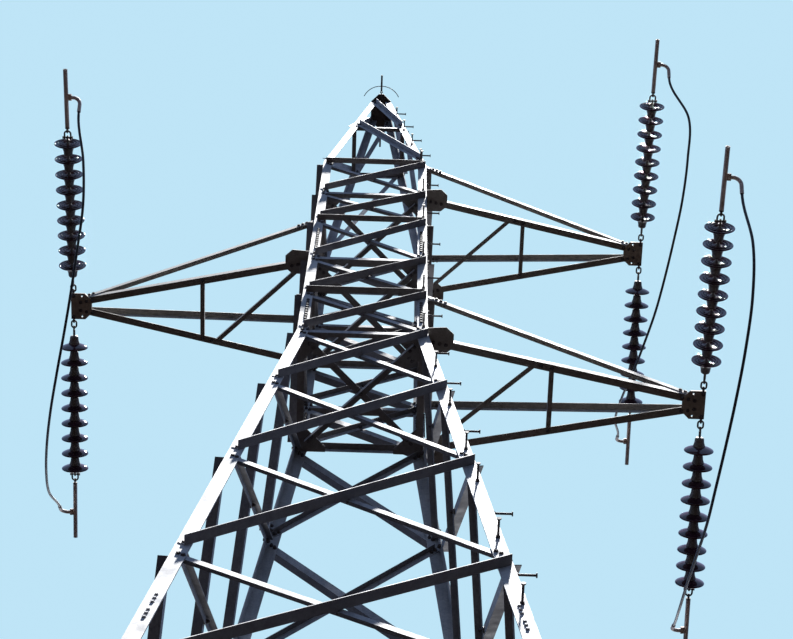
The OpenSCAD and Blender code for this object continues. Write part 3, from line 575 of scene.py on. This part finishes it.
def on_all_faces(rows):
    """The rows of the front face and their copies, turned by quarter turns about the axis."""
    turned = []
    for k in range(4):
        c, s = round(math.cos(k * math.pi / 2)), round(math.sin(k * math.pi / 2))
        spin = np.array([[c, -s, 0], [s, c, 0], [0, 0, 1]], float)
        turned += [(spin @ np.asarray(p, float), spin @ np.asarray(n, float), o, i)
                   for p, n, o, i in rows]
    return turned


def bar_end_bolts(at, towards, normal, out, inner, places=BAR_BOLTS):
    """Bolts of one brace end, at distances along the brace from its bolt point."""
    d = (towards - at) / np.linalg.norm(towards - at)
    return [(at + s * d, normal, out, inner) for s in places]


def panel_bolts(z0, z1, leg_t, outer_t, inner_t):
    """Bolts of one crossed panel of the front face: two at each end, one through the crossing."""
    s = sizes()
    low, high = z0 + s.setback, z1 - s.setback
    normal = face_normal(z0, z1)
    a, b = bolt_point(-1, low), bolt_point(1, high)
    c, d = bolt_point(-1, high), bolt_point(1, low)
    rows = []
    for p, q in ((a, b), (b, a)):
        rows += bar_end_bolts(p, q, normal, outer_t, leg_t)
    for p, q in ((c, d), (d, c)):
        rows += bar_end_bolts(p, q, normal, 0.0, leg_t + inner_t)
    crossing = a + (b - a) * a[0] / (a[0] - b[0])
    return rows + [(crossing, normal, outer_t, leg_t + inner_t)]


def arm_place(name):
    """Side (-1 left, 1 right), level and reach of an arm, from its tip plate's box."""
    low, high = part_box("tip_plate_" + name)
    side = -1 if low.x < 0 else 1
    return side, high.z + PLATE_DROP, max(abs(low.x), abs(high.x)) - 0.024


def string_frame(name, front):
    """Origin and axes of a string: the third axis runs along it, the first points up."""
    side, level, reach = arm_place(name)
    cy = -1 if front else 1
    droop = bpy.context.scene.pylon_insulators.droop
    c, s = math.cos(droop), math.sin(droop)
    origin = np.array([side * reach, cy * LINK_Y, level - PLATE_DROP - TIP_T / 2])
    axes = np.array([[0, s * cy, c], [-cy, 0, 0], [0, c * cy, -s]]).T
    return origin, axes


def chord_point(level, reach, cy, share):
    """Outer side of a bottom chord's heel at a share of its length, for an arm on the right."""
    half = half_width(level)
    start = np.array([half + 0.014, cy * (half - CHORD_INSET)])
    end = np.array([reach - 0.060, cy * TIP_CHORD_GAP / 2])
    return np.array([*(start + share * (end - start)), level - PLATE_DROP])


def along_chord(level, reach, cy, start, out, side_in):
    """Point at a distance from the chord's start along it, moved in from its heel."""
    a, b = chord_point(level, reach, cy, 0), chord_point(level, reach, cy, 1)
    d = (b - a) / np.linalg.norm(b - a)
    inwards = np.array([d[1], -d[0], 0.0]) * cy
    at = (a if start else b) + (1 if start else -1) * out * d
    return at + side_in * inwards


def step_places():
    """Root point and outward axis of each climbing step: every second one looks to the front."""
    s = sizes()
    clear = BODY_LEVELS + CAGE_LEVELS[1:] + [PEAK_MID + PEAK_END_GAP / 2]
    zone, from_heel = 0.170, 0.035
    # Heights where the runs of steps start, and how far below the head they end
    first, upper, peak, below_head = 2.51, 14.85, 23.79, 0.70
    places = []
    runs = ((first, upper - s.step_pitch / 2), (upper, peak - s.step_pitch / 2),
            (peak, PEAK_TOP - below_head))
    for low, high in runs:
        for i in range(int((high - low) / s.step_pitch) + 1):
            z = low + i * s.step_pitch
            near = [level for level in clear if abs(z - level) < zone]
            z = near[0] + zone if near else z
            half = half_width(z)
            if i % 2 == 0:
                places.append((np.array([half - from_heel, -half, z]), -BACK))
            else:
                places.append((np.array([half, from_heel - half, z]), RIGHT))
    return places


def string_ends(start, end):
    """Ball eye with its rod before the first disc, and socket with its tongue after the last.
    The eye is a closed section turned about the pin, the tongue a half-round outline in a plate."""
    eye = [(EYE_R, -0.005), (EYE_R + 0.002, -0.007), (EYE_R + 0.009, -0.007),
           (EYE_R + 0.011, -0.005), (EYE_R + 0.011, 0.005), (EYE_R + 0.009, 0.007),
           (EYE_R + 0.002, 0.007), (EYE_R, 0.005)]
    ring = turned_profile(eye, 24)[:, [1, 2, 0]] + (0, 0, EYE_AT)
    rod = turned_profile([(PIN_R, EYE_AT + EYE_R + 0.004), (PIN_R, start - 0.09)], 16)
    socket = turned_profile([(PIN_R, end + 0.042), (0.017, end + 0.046), (0.017, end + 0.060)], 20)
    half, far = 0.020, end + 0.101
    bow = np.linspace(-0.5, 0.5, 13) * math.pi
    outline = np.concatenate([
        [[-half, end + 0.059]],
        np.stack([half * np.sin(bow), far - half + half * np.cos(bow)], -1),
        [[half, end + 0.059]]])
    n = len(outline)
    tongue = np.concatenate([
        np.stack([outline[:, 0], np.full(n, y), outline[:, 1]], -1)
        for y in (EYE_T / 2, -EYE_T / 2)])
    return [(ring, looped_faces(len(eye), 24)), (rod, closed_faces(2, 16)),
            (socket, closed_faces(3, 20)), (tongue, closed_faces(2, n))]


# Operators: one for each group of pieces


class PYLON_OT_finishes(bpy.types.Operator):
    """Makes the finishes and gives each solid of the frame its own"""

    bl_idname = "pylon.finishes"
    bl_label = "Finishes"

    def execute(self, context):
        c = context.scene.pylon_colours
        cable = context.scene.pylon_cables
        # Rows: colour, rust stain, grain, and the share of painted shade on surfaces that face down
        zinc = {
            "galvanised_leg": (c.leg_zinc, 0.20, 1.0, 0.65),
            "galvanised_leg:bolt": (c.leg_zinc, 0.20, 1.0, 0.0),
            "galvanised_brace": (c.brace_zinc, 0.35, 1.2, 0.65),
            "galvanised_arm": (c.arm_zinc, 0.50, 1.2, 0.35),
            "galvanised_brace:peak": (c.peak_zinc, 0.30, 1.4, 0.65),
            "weathered_plate": (c.plate, 0.60, 1.0, 0.10),
            # Painted shade: the peak head's plate is the plate colour darkened to a third, with
            # strong darkening below
            "weathered_plate:peak": (shade(c.plate, 0.32), 0.60, 1.0, 0.65),
            "step_steel": (shade(c.bolt, 1.2), 0.30, 2.0, 0.40),
            "step_steel:bolt": (c.bolt, 0.55, 3.0, 0.40),
            "dull_fitting": (c.fitting, 0.65, 2.0, 0.0),
            "dull_fitting:cap": (c.cap, 0.40, 2.0, 0.0),
        }
        for slot, (colour, *amounts) in zinc.items():
            MATERIAL_OF_SLOT[slot] = weathered_zinc(
                slot.replace(":", "_"), tuple(colour), tuple(c.rust), tuple(c.grime_and_underside_shade), *amounts,
                far=(tuple(c.aluminium), CLAMP_FROM) if slot == "dull_fitting" else None)
        MATERIAL_OF_SLOT["glazed_disc"] = glazed_porcelain("glazed_disc", tuple(c.glaze))
        MATERIAL_OF_SLOT["jumper_cable"] = strand_cable(
            "jumper_cable", tuple(c.cable), cable.diameter)
        slots = {row["node"]: row["material_slot"] for row in frame["record"]["subparts"]}
        for name, node in frame["nodes"].items():
            slot = slots[name]
            # The peak's frame and head take the peak finishes; the head's plate copy is darkened as
            # painted shade
            if name in ("peak_frame", "peak_head"):
                slot += ":peak"
            node.data.materials.clear()
            node.data.materials.append(MATERIAL_OF_SLOT[slot])
        return {"FINISHED"}


class PYLON_OT_body_bolts(bpy.types.Operator):
    """Bolts of the braces, struts and splices below the waist"""

    bl_idname = "pylon.body_bolts"
    bl_label = "Body bolts"

    def execute(self, context):
        s = context.scene.pylon_tower
        rows, splices = [], []
        for high, low in zip(BODY_LEVELS, BODY_LEVELS[1:]):
            rows += panel_bolts(low, high, LEG_T, OUTER_T, INNER_T)
        # The upright V: its foot, its head beside and under the strut, its level brace's share
        base, foot_bolt = BODY_LEVELS[-1], 0.36
        head_x, head_drop, brace_share = 0.06, 0.12, 0.52
        normal = face_normal(0, base)
        for cx in (-1, 1):
            for inset in BAR_BOLTS:
                rows.append((bolt_point(cx, base, inset), normal, 0.0, LEG_T + BASE_T))
            foot = bolt_point(cx, foot_bolt)
            head = np.array([cx * head_x, -half_width(base), base - head_drop])
            rows += bar_end_bolts(foot, head, normal, BASE_T, LEG_T)
            rows += bar_end_bolts(head, foot, normal, BASE_T, LEG_T, (0.0, 0.05))
            share = (brace_share * base - foot_bolt) / (head[2] - foot_bolt)
            mid = foot + (head - foot) * share
            rows.append((mid, normal, BASE_T, LEG_T + INNER_T))
            rows.append((bolt_point(cx, mid[2]), normal, 0.0, LEG_T + INNER_T))
            for x in (0.05, 0.12):
                rows.append((np.array([cx * x, -half_width(base), base]), normal, 0.0,
                             LEG_T + BASE_T))
        for level in ((BODY_LEVELS[3] + BODY_LEVELS[4]) / 2, (BODY_LEVELS[5] + BODY_LEVELS[6]) / 2):
            normal = face_normal(level - 0.2, level + 0.2)
            for cx in (-1, 1):
                splices += [(bolt_point(cx, level + dz), normal, 0.0, 2 * LEG_T + EPS)
                            for dz in (-0.165, -0.110, -0.055, 0.055, 0.110, 0.165)]
        fasteners("body_bolts", on_all_faces(rows), s.bolt_size)
        fasteners("leg_splice_bolts", on_all_faces(splices), 0.8 * s.bolt_size,
                  "galvanised_leg:bolt")
        return {"FINISHED"}


class PYLON_OT_cage_bolts(bpy.types.Operator):
    """Bolts of the cage's braces and struts, and of the level crossed bars"""

    bl_idname = "pylon.cage_bolts"
    bl_label = "Cage bolts"

    def execute(self, context):
        s = context.scene.pylon_tower
        rows = []
        for low, high in zip(CAGE_LEVELS, CAGE_LEVELS[1:]):
            rows += panel_bolts(low, high, LEG_T, OUTER_T, INNER_T)
        normal = face_normal(WAIST, CAGE_TOP - EPS)
        for i, level in enumerate(CAGE_LEVELS):
            out, inner = (STRUT_T, LEG_T) if i % 2 else (0.0, LEG_T + STRUT_T)
            for cx in (-1, 1):
                for inset in BAR_BOLTS:
                    rows.append((bolt_point(cx, level, inset), normal, out, inner))
        rows = on_all_faces(rows)
        # Level of the joint, drop to the bars' upper side, and size of the corner plates
        plans = [(CAGE_LEVELS[i], 0.030, 0.25) for i in (0, 2, 4)]
        plans.append((BODY_LEVELS[-1], 0.0466, 0.32))
        for level, drop, plate in plans:
            half = half_width(level) - LEG_T
            places = [(0, 0)] + [(cx * at, cy * at) for cx, cy in CORNERS
                                 for at in (half - 0.396 * plate, half - 0.54 * plate)]
            rows += [(np.array([x, y, level - drop]), UP, STRUT_T, GUSSET_T + STRUT_T)
                     for x, y in places]
        fasteners("cage_bolts", rows, s.bolt_size)
        return {"FINISHED"}


class PYLON_OT_cage_splices(bpy.types.Operator):
    """Splice angles inside the cage legs, with a row of bolts through each flange"""

    bl_idname = "pylon.cage_splices"
    bl_label = "Cage splices"

    def execute(self, context):
        near, deep = LEG_T + EPS, LEG_T + EPS + SPLICE_T
        outline = np.array([(near, near), (SPLICE_W, near), (SPLICE_W, deep),
                            (deep, deep), (deep, SPLICE_W), (near, SPLICE_W)])
        margin, pitch, clear_of_step = 0.03, 0.062, 0.045
        parts, rows = [], []
        for low, high in CAGE_SPLICES:
            for cx, cy in CORNERS:
                ring = outline if cx * cy > 0 else outline[::-1]
                verts = [np.column_stack([(half_width(z) - ring) * (cx, cy), np.full(6, z)])
                         for z in (low, high)]
                parts.append((np.concatenate(verts), closed_faces(2, 6)))
            for cx in (-1, 1):
                for z in np.linspace(low + margin, high - margin, round((high - low) / pitch)):
                    rows.append((bolt_point(cx, z), face_normal(low, high), 0.0, deep))
        mesh_piece("cage_splices", *joined(parts), "galvanised_leg")
        steps = np.array([point for point, axis in step_places()])
        rows = [row for row in on_all_faces(rows)
                if np.linalg.norm(steps - row[0], axis=1).min() > clear_of_step]
        fasteners("cage_splice_bolts", rows, context.scene.pylon_tower.bolt_size)
        return {"FINISHED"}


class PYLON_OT_peak_bolts(bpy.types.Operator):
    """Bolts of the earth-wire peak"""

    bl_idname = "pylon.peak_bolts"
    bl_label = "Peak bolts"

    def execute(self, context):
        s = context.scene.pylon_tower
        normal = face_normal(CAGE_TOP, PEAK_TOP)
        rows = []
        for low, high in ((CAGE_TOP + PEAK_FOOT_GAP, PEAK_MID + PEAK_END_GAP),
                          (PEAK_MID + PEAK_END_GAP, PEAK_TOP - PEAK_END_GAP)):
            a, b = bolt_point(-1, high), bolt_point(1, low)
            for p, q in ((a, b), (b, a)):
                rows += bar_end_bolts(p, q, normal, STRUT_T, PEAK_LEG_T, (-0.008, 0.036))
        for cx in (-1, 1):
            rows.append((bolt_point(cx, PEAK_MID), normal, 0.0, PEAK_LEG_T + INNER_T))
        fasteners("peak_bolts", on_all_faces(rows), s.bolt_size)
        return {"FINISHED"}


class PYLON_OT_arm_bolts(bpy.types.Operator):
    """Bolts of the arms: root gussets, strut and diagonal, ties, lap plates and tip plates"""

    bl_idname = "pylon.arm_bolts"
    bl_label = "Arm bolts"

    def execute(self, context):
        s = context.scene.pylon_tower
        tie_level = {"left": 3, "top_right": 5, "low_right": 1}
        # Distances along the chord and tie from their ends, and of the strut's place along them
        gusset_bolts, tip_bolts = (0.04, 0.095, 0.15), (0.0, 0.055, 0.11)
        tie_root_bolts, tie_tip_bolts = (0.075, 0.12, 0.165), (0.03, 0.075)
        from_heel, strut_share, strut_in, strut_out = 0.032, 0.45, 0.036, 0.02
        tie_end_share = 0.975
        rows = []
        for name in ARMS:
            side, level, reach = arm_place(name)
            arm = []
            for cy in (-1, 1):
                for start, places, plate_t in ((True, gusset_bolts, GUSSET_T),
                                               (False, tip_bolts, TIP_T)):
                    arm += [(along_chord(level, reach, cy, start, out, from_heel), UP,
                             CHORD_T, plate_t) for out in places]
                diagonal_share = strut_share - 0.04 if cy < 0 else 0.02
                for share in (strut_share, diagonal_share):
                    at = chord_point(level, reach, cy, share)
                    arm.append((at - cy * strut_in * BACK + strut_out * RIGHT, UP,
                                CHORD_T + 0.004, 0.0))
                root = chord_point(level, reach, cy, 0)
                end = chord_point(level, reach, cy, tie_end_share)
                plan = end - root
                plan[2] = 0
                plan /= np.linalg.norm(plan)
                outward = np.array([-plan[1], plan[0], 0.0])
                outward *= 1 if outward[1] * cy > 0 else -1
                z_tie = CAGE_LEVELS[tie_level[name]]
                top = np.array([*root[:2], z_tie])
                tip = np.array([*end[:2], level - PLATE_DROP + CHORD_W + 0.004 - TIE_W / 2])
                d = (tip - top) / np.linalg.norm(tip - top)
                arm += [(top + out * d, outward, TIE_T, GUSSET_T) for out in tie_root_bolts]
                arm += [(tip - out * d, outward, TIE_T, CHORD_T) for out in tie_tip_bolts]
            for point, axis, out, inner in arm:
                flip = np.array([side, side, 1.0])
                rows.append((point * flip, axis * flip, out, inner))
        fasteners("arm_bolts", rows, s.bolt_size)
        return {"FINISHED"}


class PYLON_OT_step_nuts(bpy.types.Operator):
    """Lock nuts and washers of the climbing steps, on both sides of the leg"""

    bl_idname = "pylon.step_nuts"
    bl_label = "Step nuts"

    def execute(self, context):
        size, margin = 0.016, 0.02
        outer = [([(1.05 * size, 0.0005), (1.05 * size, 0.0035)], 10),
                 ([(0.8 * size, 0.0035), (0.9 * size, 0.005), (0.9 * size, 0.015),
                   (0.8 * size, 0.017)], 6)]
        inner = [([(1.05 * size, -LEG_T - 0.0035), (1.05 * size, -LEG_T - 0.0005)], 10),
                 ([(0.5 * size, -LEG_T - 0.024), (0.8 * size, -LEG_T - 0.0175),
                   (0.9 * size, -LEG_T - 0.016), (0.9 * size, -LEG_T - 0.0035)], 6)]
        outer, inner, parts = turned(outer), turned(inner), []
        for i, (point, axis) in enumerate(step_places()):
            spliced = any(low - margin < point[2] < high + margin for low, high in CAGE_SPLICES)
            turn = basis(axis, 0.3 * i).T
            below = inner[0] - spliced * (SPLICE_T + EPS) * UP
            parts.append((outer[0] @ turn + point, outer[1]))
            parts.append((below @ turn + point, inner[1]))
        mesh_piece("step_nuts", *joined(parts), "step_steel:bolt")
        return {"FINISHED"}


class PYLON_OT_feet(bpy.types.Operator):
    """Anchor bolts with their double nuts, and the weld bead round the foot of each leg"""

    bl_idname = "pylon.feet"
    bl_label = "Feet"

    def execute(self, context):
        plate_t, pitch, size = 0.022, 0.29, 0.024
        verts, faces = turned([
            ([(1.0 * size, plate_t + 0.0005), (1.0 * size, plate_t + 0.0045)], 12),
            ([(0.8 * size, plate_t + 0.0045), (0.92 * size, plate_t + 0.007),
              (0.92 * size, plate_t + 0.022), (0.8 * size, plate_t + 0.0245)], 6),
            ([(0.8 * size, plate_t + 0.0250), (0.92 * size, plate_t + 0.027),
              (0.92 * size, plate_t + 0.036), (0.8 * size, plate_t + 0.0385)], 6),
            ([(0.45 * size, 0.001), (0.5 * size, 0.004), (0.5 * size, plate_t + 0.078),
              (0.4 * size, plate_t + 0.084)], 12)])
        parts, beads = [], []
        half = half_width(plate_t)
        ell = np.array([(0, 0), (LEG_W, 0), (LEG_W, LEG_T), (LEG_T, LEG_T), (LEG_T, LEG_W),
                        (0, LEG_W), (0, 0)])
        for corner in np.array(CORNERS):
            centre = np.array([*corner, 0]) * (half - LEG_W / 2)
            for offset in np.array(CORNERS) * pitch / 2:
                turn = basis(UP, 0.4 * len(parts))
                parts.append((verts @ turn.T + centre + (*offset, 0), faces))
            outline = np.column_stack([corner * (half - ell), np.full(len(ell), plate_t + 0.002)])
            path = np.concatenate([np.linspace(a, b, 13)[:-1]
                                   for a, b in zip(outline, outline[1:])] + [outline[-1:]])
            beads.append(ripple_bead(path, 0.0045))
        mesh_piece("anchor_bolts", *joined(parts), "step_steel:bolt")
        mesh_piece("foot_welds", *joined(beads), "galvanised_leg", smooth=True)
        return {"FINISHED"}


class PYLON_OT_insulators(bpy.types.Operator):
    """Glazed discs with their ribs, and their caps, cement, pins, ball eyes and tongues"""

    bl_idname = "pylon.insulators"
    bl_label = "Insulators"

    def execute(self, context):
        s = context.scene.pylon_insulators
        r = s.disc_diameter / 2
        shell = rounded([
            (0.046, -0.014), (0.060, -0.011), (r * 0.72, 0.000), (r - 0.006, 0.015),
            (r, 0.023), (r - 0.003, 0.030), (r - 0.013, 0.032), (r - 0.019, 0.020),
            (r - 0.033, 0.019), (r - 0.037, 0.034), (r - 0.043, 0.034), (r - 0.047, 0.018),
            (r - 0.060, 0.017), (r - 0.063, 0.032), (r - 0.069, 0.032), (r - 0.073, 0.013),
            (0.030, 0.010)])
        cap = rounded([
            (0.012, -0.0945), (0.020, -0.094), (0.034, -0.090), (0.040, -0.078),
            (0.042, -0.050), (0.047, -0.034), (0.0495, -0.030), (0.0495, -0.024),
            (0.052, -0.020), (0.052, -0.012), (0.046, -0.010)])
        cement = [(0.052, -0.0125), (0.057, -0.0105), (0.050, -0.008)]
        pin = [(0.030, 0.009), (0.031, 0.0115), (0.020, 0.024), (PIN_R, 0.034), (PIN_R, 0.056)]
        start = s.first_disc - LINK_Y
        end = start + (s.disc_count - 1) * s.disc_pitch
        disc = turned_profile(shell, s.sides), looped_faces(len(shell), s.sides)
        metal_parts = turned([(cap, 24), (cement, 24), (pin, 16)])
        for name in ARMS:
            discs, metal = [], []
            for front in (True, False):
                origin, axes = string_frame(name, front)
                for i in range(s.disc_count):
                    move = origin + (start + i * s.disc_pitch) * axes[:, 2]
                    discs.append((disc[0] @ axes.T + move, disc[1]))
                    metal.append((metal_parts[0] @ axes.T + move, metal_parts[1]))
                for verts, faces in string_ends(start, end):
                    metal.append((verts @ axes.T + origin, faces))
            porcelain = mesh_piece("discs_" + name, *joined(discs), "glazed_disc", smooth=True)
            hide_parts("insulators_" + name)
            caps = mesh_piece("caps_" + name, *joined(metal), "dull_fitting:cap", smooth=True)
            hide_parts("insulators_" + name)
        return {"FINISHED"}


class PYLON_OT_jumpers(bpy.types.Operator):
    """Jumper cables that hang from end tube to end tube"""

    bl_idname = "pylon.jumpers"
    bl_label = "Jumpers"

    def execute(self, context):
        s = context.scene.pylon_cables
        dive = s.fall + context.scene.pylon_insulators.droop
        out = TUBE_BEND + TUBE_LEG
        mouth = np.array([-PAD_T - math.sin(dive) * out, TUBE_START + TUBE_BEND,
                          BARREL_AT + FLAG_AT - math.cos(dive) * out])
        for name, route in ROUTES.items():
            ends = []
            for front in (True, False):
                origin, axes = string_frame(name, front)
                ends.append(origin + axes @ mouth)
            leave = np.array([[0, cy * math.cos(s.fall), -math.sin(s.fall)] for cy in (1, -1)])
            near = np.array([route[0], route[-1]])
            reach = np.linalg.norm(near - ends, axis=1, keepdims=True)
            before = near - 2 * s.pull * reach * leave
            path = smooth_route([ends[0], *route, ends[1]], 14, before[0], before[1])
            sides = 16
            verts, faces = tube(path, s.diameter / 2, sides)
            length = np.concatenate([[0], np.cumsum(np.linalg.norm(np.diff(path, axis=0), axis=1))])
            uv = np.stack(np.broadcast_arrays(
                (np.arange(sides) / sides)[None], length[:, None]), -1).reshape(-1, 2)
            cable = mesh_piece("jumper_cable_" + name, verts, faces, "jumper_cable",
                               smooth=True, uv=uv)
            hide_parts("jumper_" + name)
        return {"FINISHED"}


class PYLON_OT_stage(bpy.types.Operator):
    """Pale round floor, key light from above, weak fill from the back, surroundings and camera"""

    bl_idname = "pylon.stage"
    bl_label = "Stage"

    def execute(self, context):
        scene = context.scene
        c, cam = scene.pylon_colours, scene.pylon_camera
        radii = np.linspace(0.5, 8.0, 12)
        sides = 96
        disc = turned_profile([(r, -0.001) for r in radii], sides)
        mesh = bpy.data.meshes.new("floor")
        mesh.from_pydata(disc.tolist(), [], wall_faces(len(radii), sides)
                         + [list(range(sides))[::-1]])
        floor = bpy.data.objects.new("floor", mesh)
        floor.data.materials.append(plain_floor("pale_floor", tuple(c.floor)))
        scene.collection.objects.link(floor)
        floor.visible_diffuse = floor.visible_glossy = False

        for name, energy, spread, colour, towards in (
                ("key", 19.5, 3, (1.0, 0.985, 0.96), (0.10, -0.13, 0.985)),
                ("back_fill", 1.6, 40, (1.0, 0.98, 0.95), (0.0, 0.90, 0.44))):
            sun = bpy.data.lights.new(name, "SUN")
            sun.energy, sun.angle, sun.color = energy, math.radians(spread), colour
            light = bpy.data.objects.new(name, sun)
            light.matrix_world = Matrix(
                [[*row, 0] for row in basis(towards)] + [[0, 0, 0, 1]])
            scene.collection.objects.link(light)

        world = bpy.data.worlds.new("studio")
        world.use_nodes = True
        n = Nodes(world.node_tree)
        seen = n.add("ShaderNodeBackground", {"Color": (*c.backdrop, 1.0), "Strength": 1.0})
        height = n.add("ShaderNodeSeparateXYZ", {
            0: n.add("ShaderNodeTexCoord").outputs["Generated"]}).outputs[2]
        dome = n.ramp(n.math("ADD", height, 0.5), (0.46, (0.055, 0.040, 0.036)),
                      (0.62, (0.38, 0.54, 0.88)))
        fill = n.add("ShaderNodeBackground", {"Color": dome, "Strength": 1.0})
        ray = n.add("ShaderNodeLightPath").outputs["Is Camera Ray"]
        both = n.add("ShaderNodeMixShader", {0: ray, 1: fill.outputs[0], 2: seen.outputs[0]})
        n.add("ShaderNodeOutputWorld", {"Surface": both.outputs[0]})
        scene.world = world
        scene.view_settings.view_transform = "Standard"

        data = bpy.data.cameras.new("viewpoint")
        data.sensor_width, data.lens = 36.0, cam.lens
        data.clip_start, data.clip_end = 0.1, 500.0
        camera = bpy.data.objects.new("viewpoint", data)
        cp, sp = math.cos(cam.pitch), math.sin(cam.pitch)
        cy, sy = math.cos(cam.yaw), math.sin(cam.yaw)
        forward = np.array([sy * cp, cy * cp, sp])
        right = np.array([cy, -sy, 0.0])
        up = np.cross(right, forward)
        cr, sr = math.cos(cam.roll), math.sin(cam.roll)
        turn = np.stack([cr * right + sr * up, cr * up - sr * right, -forward], 1)
        camera.matrix_world = Matrix([[*turn[i], cam.place[i]] for i in range(3)] + [[0, 0, 0, 1]])
        scene.collection.objects.link(camera)
        scene.camera = camera
        return {"FINISHED"}


class PYLON_PT_panel(bpy.types.Panel):
    """Lists the sizes and the operators in the sidebar"""

    bl_idname = "PYLON_PT_panel"
    bl_label = "Pylon"
    bl_space_type = "VIEW_3D"
    bl_region_type = "UI"
    bl_category = "Pylon"

    def draw(self, context):
        for group in GROUPS:
            box = self.layout.box()
            settings = getattr(context.scene, group)
            for key in settings.bl_rna.properties.keys():
                if key not in ("rna_type", "name"):
                    box.prop(settings, key)
        for operator in OPERATORS:
            self.layout.operator(operator.bl_idname)


GROUPS = {
    "pylon_tower": TowerSizes,
    "pylon_insulators": InsulatorSizes,
    "pylon_cables": CableSizes,
    "pylon_colours": FinishColours,
    "pylon_camera": CameraSizes,
}
OPERATORS = (
    PYLON_OT_finishes, PYLON_OT_stage, PYLON_OT_jumpers, PYLON_OT_insulators,
    PYLON_OT_body_bolts, PYLON_OT_cage_bolts, PYLON_OT_cage_splices, PYLON_OT_peak_bolts,
    PYLON_OT_arm_bolts, PYLON_OT_step_nuts, PYLON_OT_feet,
)


def register():
    for cls in (*GROUPS.values(), *OPERATORS, PYLON_PT_panel):
        bpy.utils.register_class(cls)
    for name, cls in GROUPS.items():
        setattr(bpy.types.Scene, name, bpy.props.PointerProperty(type=cls))


def unregister():
    for name in GROUPS:
        delattr(bpy.types.Scene, name)
    for cls in reversed((*GROUPS.values(), *OPERATORS, PYLON_PT_panel)):
        bpy.utils.unregister_class(cls)


def main():
    register()
    for operator in OPERATORS:
        group, action = operator.bl_idname.split(".")
        getattr(getattr(bpy.ops, group), action)()


if __name__ == "__main__":
    main()
